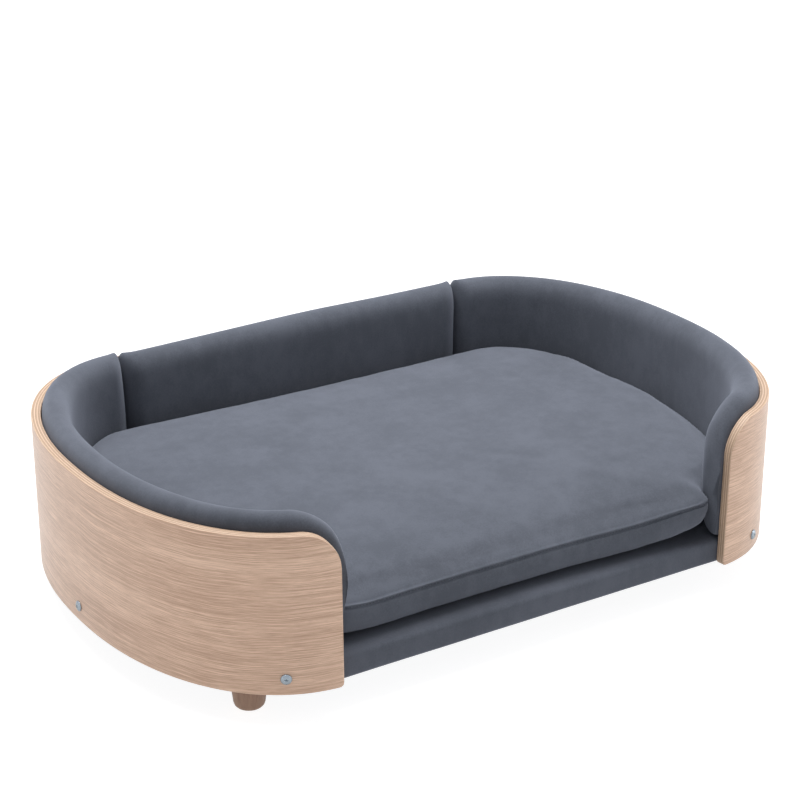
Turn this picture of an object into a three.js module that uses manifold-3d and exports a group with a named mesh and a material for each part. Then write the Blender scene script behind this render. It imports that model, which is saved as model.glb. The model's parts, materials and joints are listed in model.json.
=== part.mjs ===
// Dog bed with a bent-plywood frame. Millimetres, +Z up, +X to the bed's right, +Y to its back.
// The floor is z = 0 and the origin is under the middle of the bed.
// Two C-shaped side panels and a flat back panel stand round an upholstered base on four legs.
// Three padded bolsters line the panels, and a loose zipped cushion lies on the base between them.

import * as THREE from 'three';
import { mergeVertices } from 'three/addons/utils/BufferGeometryUtils.js';
import Module from 'manifold-3d';

const wasm = await Module();
wasm.setup();

const GAP = 0.3; // between pieces that touch
const CURVE_GAP = 1; // between faceted curves that lie against each other

// The bed's outline in plan: a straight back, and a superelliptic end on each side.
const BED_WIDTH = 1000;
const BED_DEPTH = 668;
const BACK_STRAIGHT = 566; // length of the flat back panel
const ROUNDNESS = 2.2; // exponent of the superellipse
const HALF_BACK = BACK_STRAIGHT / 2;
const END_REACH = BED_WIDTH / 2 - HALF_BACK;
const HALF_DEPTH = BED_DEPTH / 2;

// Panels of bent plywood.
const PLY = 13;
const PANEL_BOTTOM = 43;
const PANEL_HEIGHT = 210;
const PANEL_TOP = PANEL_BOTTOM + PANEL_HEIGHT;
const OPENING_HALF = 299; // half the open front, between the side panels' ends
const TOP_CORNER = 52; // radius of a side panel's upper front corner
const BOTTOM_CORNER = 6;
const END_LEAN = 2; // a panel's end stands back by this much at the top
const ARC_STEPS = 26; // stations along a side panel

// Base: a board inside the panels, with foam and a fabric cover on it.
const BOARD = 22;
const BOARD_BOTTOM = PANEL_BOTTOM + 7;
const BOARD_TOP = BOARD_BOTTOM + BOARD;
const BASE_FRONT = -319; // face of the fabric at the front
const FABRIC = 1.5;
const DECK_TOP = BOARD_TOP + 8;
const COVER_LOW = BOARD_BOTTOM - FABRIC - GAP; // the cover is wrapped under the board's front edge
const COVER_TUCK = 18;

// Bolsters: padding on the inside of the panels, standing above their top edge.
const BOLSTER_THICK = 40;
const BOLSTER_RISE = 19; // crest above the panel's top edge
const BOLSTER_PROUD = 2; // a side bolster's front end stands past the panel's end
const FRONT_ROUND = 14; // end rounding at the front
const SEAM_ROUND = 28; // end rounding where two bolsters meet

// Loose cushion.
const CUSHION_SIDE_GAP = 4;
const CUSHION_REAR = 270;
const CUSHION_FRONT = -308;
const CUSHION_FRONT_MIDDLE = -297; // the front pulls in between its corners
const CUSHION_HALF_FRONT = 293;
const CUSHION_CENTRE_Y = -15;
const CUSHION_HEIGHT = 91; // at its crown
const COVER_WALL = 1.6;

// Zip in the cushion's rear band.
const ZIP_HALF = 235;
const ZIP_Z = 108;
const ZIP_WIDTH = 5;
const SLIDER_X = -225; // closed end
const SLIDER_FACE = CUSHION_REAR + GAP;

// Screw joints between the panels and the base board.
const BOLT_Z = BOARD_TOP - 7;
const BOLT_RADIUS = 3;
const HEAD_RADIUS = 7;
const HEAD_HEIGHT = 3.3;
const BOLT_LENGTH = 29;
const INSERT_RADIUS = 5;
const INSERT_LENGTH = 13;
const SIDE_BOLT_ANGLES = { front: -69.2, middle: -1, rear: 67 }; // degrees round the end
const BACK_BOLT_X = 190;
const HARDWARE_SIDES = 12;

// Dowels across the two seams of the back.
const DOWEL_RADIUS = 4;
const DOWEL_HALF = 18;
const DOWEL_HEIGHTS = { lower: PANEL_BOTTOM + 70, upper: PANEL_BOTTOM + 160 };

// Legs.
const LEG_X = 385;
const LEG_Y = 249;
const LEG_TOP_RADIUS = 24;
const LEG_BOTTOM_RADIUS = 19.5;
const LEG_BOTTOM = 3;
const LEG_SIDES = 20;
const STUD_RADIUS = 4;
const STUD_BOTTOM = 35;
const GLIDE_RADIUS = 9;
const GLIDE_PIN = 2.5;
const TEE_FLANGE = 11;

const OAK = { color: 0xd2b08f, roughness: 0.55, metalness: 0 };
const PLAIN_WOOD = { color: 0xc9a77f, roughness: 0.7, metalness: 0 };
const GREY_FABRIC = { color: 0x555a66, roughness: 0.9, metalness: 0 };
const FOAM = { color: 0xe8e2cf, roughness: 0.95, metalness: 0 };
const STEEL = { color: 0xc4c8cc, roughness: 0.35, metalness: 1 };
const DARK_PLASTIC = { color: 0x24262a, roughness: 0.6, metalness: 0 };

const bed = new THREE.Group();

function add(name, geometry, look) {
  const mesh = new THREE.Mesh(geometry, new THREE.MeshStandardMaterial(look));
  mesh.name = name;
  bed.add(mesh);
  return mesh;
}

// ---- solids: joining and cutting -------------------------------------------------------------

function toSolid(geometry) {
  const bare = geometry.clone();
  bare.deleteAttribute('normal');
  bare.deleteAttribute('uv');
  const merged = mergeVertices(bare, 1e-4);
  return new wasm.Manifold(new wasm.Mesh({
    numProp: 3,
    vertProperties: merged.attributes.position.array,
    triVerts: merged.index.array,
  }));
}

function toGeometry(solid) {
  const mesh = solid.getMesh();
  const geometry = new THREE.BufferGeometry();
  geometry.setAttribute('position', new THREE.BufferAttribute(mesh.vertProperties, 3));
  geometry.setIndex(new THREE.BufferAttribute(mesh.triVerts, 1));
  geometry.computeVertexNormals();
  return geometry;
}

function cut(geometry, tools) {
  return toGeometry(tools.reduce((solid, tool) => solid.subtract(toSolid(tool)), toSolid(geometry)));
}

function join(geometries) {
  return toGeometry(geometries.map(toSolid).reduce((whole, solid) => whole.add(solid)));
}

function common(first, second) {
  return toGeometry(toSolid(first).intersect(toSolid(second)));
}

// ---- basic shapes ----------------------------------------------------------------------------

function box(low, high) {
  const size = new THREE.Vector3().subVectors(high, low);
  const middle = new THREE.Vector3().addVectors(low, high).multiplyScalar(0.5);
  return new THREE.BoxGeometry(size.x, size.y, size.z).translate(middle.x, middle.y, middle.z);
}

// A prism standing on a plan outline, from one height to another.
function prism(outline, bottom, top) {
  const shape = new THREE.Shape(outline);
  return new THREE.ExtrudeGeometry(shape, { depth: top - bottom, bevelEnabled: false })
    .translate(0, 0, bottom);
}

// A section in the YZ plane, drawn right across the bed along X.
function acrossBed(section) {
  return new THREE.ExtrudeGeometry(new THREE.Shape(section), { depth: BED_WIDTH, bevelEnabled: false })
    .applyMatrix4(new THREE.Matrix4().makeBasis(
      new THREE.Vector3(0, 1, 0), new THREE.Vector3(0, 0, 1), new THREE.Vector3(1, 0, 0)))
    .translate(-BED_WIDTH / 2, 0, 0);
}

function volumeOf(geometry) {
  const position = geometry.attributes.position;
  const corner = (k) => new THREE.Vector3().fromBufferAttribute(position, geometry.index.getX(k));
  let total = 0;
  for (let k = 0; k < geometry.index.count; k += 3) {
    total += corner(k).dot(corner(k + 1).cross(corner(k + 2))) / 6;
  }
  return total;
}

// Turns the faces of a closed skin outwards.
function faceOutwards(geometry) {
  if (volumeOf(geometry) < 0) {
    geometry.setIndex(Array.from(geometry.index.array).reverse());
  }
  geometry.computeVertexNormals();
  return geometry;
}

// A turned piece: the profile is [radius, height] pairs and the axis is Z.
function turned(profile, sides) {
  const points = profile.map(([radius, height]) => new THREE.Vector2(radius, height));
  return faceOutwards(new THREE.LatheGeometry(points, sides).rotateX(Math.PI / 2));
}

// A closed skin through rings of equal length, with a fan to an end point at each end.
function loft(rings, startPoint, endPoint) {
  const count = rings[0].length;
  const points = [...rings.flat(), startPoint, endPoint];
  const start = points.length - 2;
  const end = points.length - 1;
  const last = (rings.length - 1) * count;
  const faces = [];
  for (let k = 0; k < count; k += 1) {
    const next = (k + 1) % count;
    faces.push(start, next, k);
    faces.push(end, last + k, last + next);
    for (let ring = 0; ring < rings.length - 1; ring += 1) {
      const low = ring * count;
      const high = low + count;
      faces.push(low + k, low + next, high + next);
      faces.push(low + k, high + next, high + k);
    }
  }
  const geometry = new THREE.BufferGeometry().setFromPoints(points);
  geometry.setIndex(faces);
  return faceOutwards(geometry);
}

function middleOf(ring) {
  const sum = ring.reduce((total, point) => total.add(point), new THREE.Vector3());
  return sum.divideScalar(ring.length);
}

function mirrorX(geometry) {
  return faceOutwards(geometry.clone().applyMatrix4(new THREE.Matrix4().makeScale(-1, 1, 1)));
}

// ---- plan outline ----------------------------------------------------------------------------

// Outward direction of the right-hand end at an angle: 90 is the back, 0 the side, -90 the front.
function planNormal(degrees) {
  const angle = THREE.MathUtils.degToRad(degrees);
  const power = 2 * (ROUNDNESS - 1) / ROUNDNESS;
  const x = Math.abs(Math.cos(angle)) ** power / END_REACH;
  const y = Math.sign(angle) * Math.abs(Math.sin(angle)) ** power / HALF_DEPTH;
  return new THREE.Vector2(x, y).normalize();
}

// A point of the right-hand end, set in from the panel's outer face.
function planPoint(degrees, inset) {
  const angle = THREE.MathUtils.degToRad(degrees);
  const power = 2 / ROUNDNESS;
  const x = HALF_BACK + END_REACH * Math.abs(Math.cos(angle)) ** power;
  const y = HALF_DEPTH * Math.sign(angle) * Math.abs(Math.sin(angle)) ** power;
  return new THREE.Vector2(x, y).addScaledVector(planNormal(degrees), -inset);
}

// The angle where an inset end crosses an X, on its front (-1) or rear (+1) quarter.
function angleAtX(x, inset, quarter) {
  let low = 0;
  let high = 90;
  for (let pass = 0; pass < 40; pass += 1) {
    const middle = (low + high) / 2;
    if (planPoint(middle * quarter, inset).x > x) {
      low = middle;
    } else {
      high = middle;
    }
  }
  return quarter * (low + high) / 2;
}

function angleSteps(from, to, steps) {
  return Array.from({ length: steps + 1 }, (_, k) => from + (to - from) * k / steps);
}

function endArc(from, to, inset, steps = ARC_STEPS) {
  return angleSteps(from, to, steps).map((degrees) => planPoint(degrees, inset));
}

// The whole D-shaped outline, set in all round.
function bedPlan(inset) {
  const right = endArc(-90, 90, inset);
  const left = right.map((point) => new THREE.Vector2(-point.x, point.y)).reverse();
  return [...right, ...left];
}

// ---- screws ----------------------------------------------------------------------------------

// Where each panel screw goes in: a point on the panel's outer face and the outward direction.
function screwSites() {
  const sites = [];
  for (const [place, degrees] of Object.entries(SIDE_BOLT_ANGLES)) {
    const point = planPoint(degrees, 0);
    const out = planNormal(degrees);
    sites.push({ name: `right_${place}`, x: point.x, y: point.y, out });
    sites.push({ name: `left_${place}`, x: -point.x, y: point.y, out: new THREE.Vector2(-out.x, out.y) });
  }
  for (const [side, x] of [['left', -BACK_BOLT_X], ['right', BACK_BOLT_X]]) {
    sites.push({ name: `back_${side}`, x, y: HALF_DEPTH, out: new THREE.Vector2(0, 1) });
  }
  return sites;
}

// Lays a turned piece, drawn along Z, into a screw site with its Z along the inward direction.
function intoSite(geometry, site) {
  const inward = new THREE.Vector3(-site.out.x, -site.out.y, 0);
  const up = new THREE.Vector3(0, 0, 1);
  const across = new THREE.Vector3().crossVectors(up, inward);
  return geometry
    .applyMatrix4(new THREE.Matrix4().makeBasis(across, up, inward))
    .translate(site.x, site.y, BOLT_Z);
}

// A plain round drill, drawn along Z from one depth to another.
function drill(radius, from, to) {
  return turned([[0, from], [radius, from], [radius, to], [0, to]], HARDWARE_SIDES);
}

function screwGeometry() {
  return turned([
    [0, -HEAD_HEIGHT - GAP],
    [HEAD_RADIUS * 0.5, -HEAD_HEIGHT * 0.92 - GAP],
    [HEAD_RADIUS * 0.85, -HEAD_HEIGHT * 0.6 - GAP],
    [HEAD_RADIUS, -GAP - 0.6],
    [HEAD_RADIUS, -GAP],
    [BOLT_RADIUS, -GAP],
    [BOLT_RADIUS, BOLT_LENGTH],
    [0, BOLT_LENGTH],
  ], HARDWARE_SIDES);
}

function insertGeometry() {
  const start = PLY + 2 * GAP;
  const bore = BOLT_RADIUS + GAP;
  return turned([
    [bore, start],
    [INSERT_RADIUS, start],
    [INSERT_RADIUS, start + INSERT_LENGTH],
    [bore, start + INSERT_LENGTH],
    [bore, start],
  ], HARDWARE_SIDES);
}

function screwHoleInBoard() {
  const clearance = BOLT_RADIUS + 2 * GAP;
  const insertEnd = PLY + 3 * GAP + INSERT_LENGTH;
  return join([
    drill(INSERT_RADIUS + GAP, PLY - 1, insertEnd),
    drill(clearance, insertEnd - 1, BOLT_LENGTH + 2),
  ]);
}

function addScrews(sites) {
  for (const site of sites) {
    add(`${site.name}_bolt`, intoSite(screwGeometry(), site), STEEL);
    add(`${site.name}_insert`, intoSite(insertGeometry(), site), STEEL);
  }
}

// ---- panels ----------------------------------------------------------------------------------

// Everything past the shaped front end of the right-hand panel: a leaning edge, a large upper
// corner and a small lower one.
function frontEndCutter() {
  const shape = new THREE.Shape();
  const past = OPENING_HALF - 60;
  shape.moveTo(past, PANEL_BOTTOM - 1);
  shape.lineTo(OPENING_HALF + BOTTOM_CORNER, PANEL_BOTTOM - 1);
  shape.lineTo(OPENING_HALF + BOTTOM_CORNER, PANEL_BOTTOM);
  shape.absarc(OPENING_HALF + BOTTOM_CORNER, PANEL_BOTTOM + BOTTOM_CORNER, BOTTOM_CORNER,
    -Math.PI / 2, -Math.PI, true);
  shape.absarc(OPENING_HALF + END_LEAN + TOP_CORNER, PANEL_TOP - TOP_CORNER, TOP_CORNER,
    Math.PI, Math.PI / 2, true);
  shape.lineTo(OPENING_HALF + END_LEAN + TOP_CORNER, PANEL_TOP + 1);
  shape.lineTo(past, PANEL_TOP + 1);
  return new THREE.ExtrudeGeometry(shape, { depth: HALF_DEPTH, bevelEnabled: false, curveSegments: 10 })
    .rotateX(Math.PI / 2)
    .translate(0, -HALF_DEPTH / 3, 0);
}

function dowelHole(side, height) {
  const reach = DOWEL_HALF + GAP;
  const radius = DOWEL_RADIUS + GAP;
  return turned([[0, -reach], [radius, -reach], [radius, reach], [0, reach]], HARDWARE_SIDES)
    .rotateY(Math.PI / 2)
    .translate(side * HALF_BACK, HALF_DEPTH - PLY / 2, height);
}

function sidePanel(side, sites) {
  const front = -89;
  const rear = angleAtX(HALF_BACK + GAP / 2, 0, 1);
  const outline = [...endArc(front, rear, 0), ...endArc(rear, front, PLY)];
  const right = cut(prism(outline, PANEL_BOTTOM, PANEL_TOP), [frontEndCutter()]);
  const whole = side > 0 ? right : mirrorX(right);
  const holes = sites.filter((site) => site.x * side > HALF_BACK)
    .map((site) => intoSite(drill(BOLT_RADIUS + GAP, -2, PLY + 2), site));
  const dowels = Object.values(DOWEL_HEIGHTS).map((height) => dowelHole(side, height));
  return cut(whole, [...holes, ...dowels]);
}

function backPanel(sites) {
  const low = new THREE.Vector3(-HALF_BACK + GAP / 2, HALF_DEPTH - PLY, PANEL_BOTTOM);
  const high = new THREE.Vector3(HALF_BACK - GAP / 2, HALF_DEPTH, PANEL_TOP);
  const holes = sites.filter((site) => site.out.y === 1)
    .map((site) => intoSite(drill(BOLT_RADIUS + GAP, -2, PLY + 2), site));
  const dowels = [-1, 1].flatMap((side) =>
    Object.values(DOWEL_HEIGHTS).map((height) => dowelHole(side, height)));
  return cut(box(low, high), [...holes, ...dowels]);
}

function addDowels() {
  for (const [side, x] of [['left', -HALF_BACK], ['right', HALF_BACK]]) {
    for (const [place, height] of Object.entries(DOWEL_HEIGHTS)) {
      const dowel = turned([[0, -DOWEL_HALF], [DOWEL_RADIUS, -DOWEL_HALF],
        [DOWEL_RADIUS, DOWEL_HALF], [0, DOWEL_HALF]], HARDWARE_SIDES);
      dowel.rotateY(Math.PI / 2).translate(x, HALF_DEPTH - PLY / 2, height);
      add(`${side}_${place}_dowel`, dowel, PLAIN_WOOD);
    }
  }
}

function addPanels(sites) {
  add('left_side_panel', sidePanel(-1, sites), OAK);
  add('right_side_panel', sidePanel(1, sites), OAK);
  add('back_panel', backPanel(sites), OAK);
  addDowels();
}

// ---- base ------------------------------------------------------------------------------------

function section(points) {
  return points.map(([y, z]) => new THREE.Vector2(y, z));
}

// A layer of the base: a YZ section right across the bed, kept inside the panels.
function baseLayer(points) {
  const inside = prism(bedPlan(PLY + CURVE_GAP), 0, PANEL_TOP);
  return common(acrossBed(section(points)), inside);
}

function baseBoard(sites) {
  const front = BASE_FRONT + FABRIC + GAP;
  const board = baseLayer([
    [front, BOARD_BOTTOM], [HALF_DEPTH, BOARD_BOTTOM], [HALF_DEPTH, BOARD_TOP], [front, BOARD_TOP]]);
  const screwHoles = sites.map((site) => intoSite(screwHoleInBoard(), site));
  const legHoles = legPlaces().map(({ x, y }) => join([
    drill(INSERT_RADIUS + GAP, BOARD_BOTTOM - 1, BOARD_TOP),
    drill(TEE_FLANGE + GAP, BOARD_TOP - 2, BOARD_TOP + 1),
  ]).translate(x, y, 0));
  return cut(board, [...screwHoles, ...legHoles]);
}

// Heights of the deck behind its front face: a soft edge, then a slow rise to the flat deck.
function deckRise(inset) {
  return [
    [BASE_FRONT + inset, DECK_TOP - 7],
    [BASE_FRONT + 2.5 + inset * 0.5, DECK_TOP - 4.8 - inset * 0.6],
    [BASE_FRONT + 9, DECK_TOP - 3.2 - inset],
    [BASE_FRONT + 29, DECK_TOP - 1.2 - inset],
    [BASE_FRONT + 57, DECK_TOP - inset],
    [HALF_DEPTH, DECK_TOP - inset],
  ];
}

function deckFoam() {
  const inset = FABRIC + GAP;
  const bottom = BOARD_TOP + GAP;
  return baseLayer([...deckRise(inset), [HALF_DEPTH, bottom], [BASE_FRONT + inset, bottom]]);
}

function deckCover() {
  const outside = [[BASE_FRONT, COVER_LOW], ...deckRise(0)];
  const inside = deckRise(FABRIC).reverse();
  const tuck = BASE_FRONT + COVER_TUCK;
  return baseLayer([
    ...outside, ...inside,
    [BASE_FRONT + FABRIC, COVER_LOW + FABRIC], [tuck, COVER_LOW + FABRIC], [tuck, COVER_LOW],
  ]);
}

function addBase(sites) {
  add('base_board', baseBoard(sites), PLAIN_WOOD);
  add('deck_foam', deckFoam(), FOAM);
  add('deck_cover', deckCover(), GREY_FABRIC);
}

// ---- legs ------------------------------------------------------------------------------------

function legPlaces() {
  return [
    { name: 'front_left', x: -LEG_X, y: -LEG_Y },
    { name: 'front_right', x: LEG_X, y: -LEG_Y },
    { name: 'rear_left', x: -LEG_X, y: LEG_Y },
    { name: 'rear_right', x: LEG_X, y: LEG_Y },
  ];
}

function legGeometry() {
  const top = BOARD_BOTTOM - GAP;
  const bore = STUD_RADIUS + GAP;
  const pinBore = GLIDE_PIN + GAP;
  return turned([
    [0, STUD_BOTTOM - GAP],
    [bore, STUD_BOTTOM - GAP],
    [bore, top],
    [LEG_TOP_RADIUS, top],
    [LEG_BOTTOM_RADIUS, LEG_BOTTOM + 1.5],
    [LEG_BOTTOM_RADIUS - 1.5, LEG_BOTTOM],
    [pinBore, LEG_BOTTOM],
    [pinBore, LEG_BOTTOM + 10],
    [0, LEG_BOTTOM + 10],
  ], LEG_SIDES);
}

function glideGeometry() {
  const top = LEG_BOTTOM - GAP;
  return turned([
    [0, LEG_BOTTOM + 10 - GAP],
    [GLIDE_PIN, LEG_BOTTOM + 10 - GAP],
    [GLIDE_PIN, top],
    [GLIDE_RADIUS, top],
    [GLIDE_RADIUS, 1],
    [GLIDE_RADIUS - 1, 0],
    [0, 0],
  ], HARDWARE_SIDES);
}

function teeNutGeometry() {
  const bore = STUD_RADIUS + GAP;
  const top = BOARD_TOP - GAP;
  return turned([
    [bore, BOARD_BOTTOM + 2],
    [INSERT_RADIUS, BOARD_BOTTOM + 2],
    [INSERT_RADIUS, top - 1.4],
    [TEE_FLANGE, top - 1.4],
    [TEE_FLANGE, top],
    [bore, top],
    [bore, BOARD_BOTTOM + 2],
  ], HARDWARE_SIDES);
}

function addLegs() {
  for (const { name, x, y } of legPlaces()) {
    add(`${name}_leg`, legGeometry().translate(x, y, 0), OAK);
    add(`${name}_glide`, glideGeometry().translate(x, y, 0), DARK_PLASTIC);
    add(`${name}_stud`, drill(STUD_RADIUS, STUD_BOTTOM, BOARD_TOP - 1).translate(x, y, 0), STEEL);
    add(`${name}_tee_nut`, teeNutGeometry().translate(x, y, 0), STEEL);
  }
}

// ---- bolsters --------------------------------------------------------------------------------

// Section of a bolster as fractions: depth off the panel, height above the deck.
const BOLSTER_SECTION = [
  [0, 0], [0.5, 0], [0.78, 0.07], [0.95, 0.25], [1, 0.48], [0.98, 0.72],
  [0.86, 0.9], [0.62, 0.985], [0.38, 1], [0.16, 0.97], [0, 0.88],
];

// How far an end has filled out, from 0 at the tip to 1 once past the rounding.
function fillOut(distance, rounding) {
  const left = 1 - Math.min(Math.max(distance / rounding, 0), 1);
  return Math.sqrt(1 - left * left);
}

// Height of the panel's top edge at a distance from its front end.
function panelTopAt(distance) {
  const left = Math.max(TOP_CORNER - Math.max(distance - END_LEAN, 0), 0);
  return PANEL_TOP - TOP_CORNER + Math.sqrt(TOP_CORNER * TOP_CORNER - left * left);
}

function bolsterRing(place, thick, top) {
  const bottom = DECK_TOP + GAP;
  return BOLSTER_SECTION.map(([deep, high]) => {
    const point = place(deep * thick);
    return new THREE.Vector3(point.x, point.y, bottom + high * (top - bottom));
  });
}

function bolsterSize(fromSeam) {
  const full = fillOut(fromSeam, SEAM_ROUND);
  return {
    thick: BOLSTER_THICK * (0.4 + 0.6 * full),
    drop: 26 * (1 - full),
  };
}

function sideBolster() {
  const face = PLY + CURVE_GAP;
  const tipX = OPENING_HALF - BOLSTER_PROUD;
  const seamX = HALF_BACK + GAP;
  const frontXs = [0, 1.5, 5, 10, 16, 28, 44].map((step) => tipX + step);
  const seamXs = [28, 18, 9, 3, 0].map((step) => seamX + step);
  const frontAngles = frontXs.map((x) => angleAtX(x, face, -1));
  const seamAngles = seamXs.map((x) => angleAtX(x, face, 1));
  const between = angleSteps(frontAngles.at(-1), seamAngles[0], ARC_STEPS - 8).slice(1, -1);
  const rings = [...frontAngles, ...between, ...seamAngles].map((degrees) => {
    const { x, y } = planPoint(degrees, face);
    const atFront = y < 0 ? x - tipX : Infinity;
    const fromSeam = y > 0 ? x - seamX : Infinity;
    const filled = fillOut(atFront, FRONT_ROUND);
    const { thick, drop } = bolsterSize(fromSeam);
    const top = panelTopAt(atFront) + BOLSTER_RISE - drop - 6 * (1 - filled);
    return bolsterRing((deep) => planPoint(degrees, face + deep), thick * (0.6 + 0.4 * filled), top);
  });
  return loft(rings, middleOf(rings[0]), middleOf(rings.at(-1)));
}

function backBolster() {
  const half = HALF_BACK - GAP;
  const steps = [0, 3, 9, 18, 28];
  const xs = [...steps.map((step) => -half + step), ...steps.map((step) => half - step).reverse()];
  const rings = xs.map((x) => {
    const { thick, drop } = bolsterSize(half - Math.abs(x));
    const place = (deep) => new THREE.Vector2(x, HALF_DEPTH - PLY - CURVE_GAP - deep);
    return bolsterRing(place, thick, PANEL_TOP + BOLSTER_RISE - drop);
  });
  return loft(rings, middleOf(rings[0]), middleOf(rings.at(-1)));
}

function addBolsters() {
  const right = sideBolster();
  add('left_bolster', mirrorX(right), GREY_FABRIC);
  add('right_bolster', right, GREY_FABRIC);
  add('back_bolster', backBolster(), GREY_FABRIC);
}

// ---- cushion ---------------------------------------------------------------------------------

// Right half of the cushion in plan, from the back to the front: the rear edge, the end beside the
// bolster, and the nose that fills the open front between the bolsters' ends.
function cushionHalfPlan() {
  const inset = PLY + CURVE_GAP + BOLSTER_THICK + CUSHION_SIDE_GAP;
  const noseX = CUSHION_HALF_FRONT;
  const last = angleAtX(noseX + 26, inset, -1);
  const end = endArc(90, last, inset, 18)
    .map((point) => new THREE.Vector2(point.x, Math.min(point.y, CUSHION_REAR)));
  const beside = planPoint(last, inset).y;
  const nose = [[12, -3], [3.5, -9], [0.5, -18]].map(([x, y]) =>
    new THREE.Vector2(noseX + x, beside + y));
  const corner = [0, 30, 60, 90].map((degrees) => {
    const angle = THREE.MathUtils.degToRad(degrees);
    return new THREE.Vector2(noseX - 13 + 13 * Math.cos(angle), CUSHION_FRONT + 9 - 9 * Math.sin(angle));
  });
  const front = [0.75, 0.5, 0.25].map((share) => {
    const pulledIn = (CUSHION_FRONT_MIDDLE - CUSHION_FRONT) * (1 - share * share);
    return new THREE.Vector2((noseX - 13) * share, CUSHION_FRONT + pulledIn);
  });
  return [...end, ...nose, ...corner, ...front];
}

function cushionPlan() {
  const right = cushionHalfPlan();
  const left = right.map((point) => new THREE.Vector2(-point.x, point.y)).reverse();
  return [...right, new THREE.Vector2(0, CUSHION_FRONT_MIDDLE), ...left];
}

// How far a plan point lies towards the cushion's rear and towards its front, each from 0 to 1.
function towardsEnds(point) {
  return {
    rear: THREE.MathUtils.smoothstep(point.y, 40, 240),
    front: THREE.MathUtils.smoothstep(-point.y, 120, 290),
  };
}

// Height of the top seam above the deck: the cushion is squeezed up at its back and thinner at
// its front corners.
function seamHeight(point) {
  const { rear, front } = towardsEnds(point);
  const corner = front * THREE.MathUtils.smoothstep(Math.abs(point.x), 150, CUSHION_HALF_FRONT);
  return 53 + 10 * rear - 4 * front - 6 * corner;
}

// Height of the crown at a share of the way out to the edge: steep against the bolsters, and a long
// soft slope at the open front.
function crownHeight(point, share) {
  const { rear, front } = towardsEnds(point);
  const seam = seamHeight(point);
  const filled = (1 - share ** (10 + 4 * rear - 6.8 * front)) ** (0.5 + 0.3 * front);
  return seam + (CUSHION_HEIGHT - seam) * filled;
}

const CUSHION_FOOT = [[0.955, 0], [0.99, 5], [1, 10]]; // size in plan, height above the deck
const CROWN_SHARES = [1, 0.985, 0.96, 0.92, 0.85, 0.72, 0.5, 0.25];

// The cushion's form, shrunk all round by an inset.
function cushionForm(inset) {
  const plan = cushionPlan();
  const bottom = DECK_TOP + GAP;
  const shrink = inset / (CUSHION_REAR - CUSHION_CENTRE_Y);
  const ring = (share, heightAt) => plan.map((point) => new THREE.Vector3(
    point.x * (share - shrink),
    CUSHION_CENTRE_Y + (point.y - CUSHION_CENTRE_Y) * (share - shrink),
    bottom + heightAt(point)));
  const foot = CUSHION_FOOT.map(([share, height]) => ring(share, () => height + inset));
  const crown = CROWN_SHARES.map((share) => ring(share, (point) => crownHeight(point, share) - inset));
  const low = new THREE.Vector3(0, CUSHION_CENTRE_Y, bottom + inset);
  const high = new THREE.Vector3(0, CUSHION_CENTRE_Y, bottom + CUSHION_HEIGHT - inset);
  return loft([...foot, ...crown], low, high);
}

function zipBox(halfLength, halfWidth, rear, front) {
  return box(
    new THREE.Vector3(-halfLength, front, ZIP_Z - halfWidth),
    new THREE.Vector3(halfLength, rear, ZIP_Z + halfWidth));
}

function zipSlider() {
  const body = box(
    new THREE.Vector3(SLIDER_X - 5.5, SLIDER_FACE, ZIP_Z - 4.2),
    new THREE.Vector3(SLIDER_X + 5.5, SLIDER_FACE + 2.3, ZIP_Z + 4.2));
  const post = (x) => box(
    new THREE.Vector3(SLIDER_X + x - 0.6, SLIDER_FACE + 2, ZIP_Z - 1.2),
    new THREE.Vector3(SLIDER_X + x + 0.6, SLIDER_FACE + 5, ZIP_Z + 1.2));
  const bridge = box(
    new THREE.Vector3(SLIDER_X - 4, SLIDER_FACE + 4.7, ZIP_Z - 1.2),
    new THREE.Vector3(SLIDER_X + 4, SLIDER_FACE + 5.7, ZIP_Z + 1.2));
  return join([body, post(-3.4), post(3.4), bridge]);
}

// The tab lies along the zip: a frame round the slider's bridge, then a plate.
function zipPullTab() {
  const shape = new THREE.Shape(section([[-1.2, -4], [20, -4], [22, -2], [22, 2], [20, 4], [-1.2, 4]]));
  shape.holes.push(new THREE.Path(section([[1.2, -2.4], [9, -2.4], [9, 2.4], [1.2, 2.4]])));
  return new THREE.ExtrudeGeometry(shape, { depth: 1.4, bevelEnabled: false })
    .rotateX(Math.PI / 2)
    .translate(SLIDER_X, SLIDER_FACE + 4.1, ZIP_Z);
}

function addCushion() {
  const slot = zipBox(ZIP_HALF, ZIP_WIDTH / 2, CUSHION_REAR + 1, CUSHION_REAR - COVER_WALL - 2);
  add('cushion_cover', cut(cushionForm(0), [cushionForm(COVER_WALL), slot]), GREY_FABRIC);
  add('cushion_fill', cushionForm(COVER_WALL + 2 * GAP), FOAM);
  const chain = zipBox(ZIP_HALF - GAP, ZIP_WIDTH / 2 - GAP, CUSHION_REAR - GAP, CUSHION_REAR - COVER_WALL);
  add('zip_chain', chain, DARK_PLASTIC);
  add('zip_slider', zipSlider(), STEEL);
  add('zip_pull_tab', zipPullTab(), STEEL);
}

// ---- the bed ---------------------------------------------------------------------------------

const screws = screwSites();
addPanels(screws);
addBase(screws);
addBolsters();
addCushion();
addLegs();
addScrews(screws);

// Puts the middle of the whole depth, from the panels' front ends to the rear screw heads, at y = 0.
const extent = new THREE.Box3().setFromObject(bed);
bed.position.y = -(extent.min.y + extent.max.y) / 2;
bed.updateMatrixWorld(true);

export default bed;
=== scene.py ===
import json
import math

import bmesh
import bpy
import numpy as np
from mathutils import Matrix, Vector, noise
from mathutils.kdtree import KDTree


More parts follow.
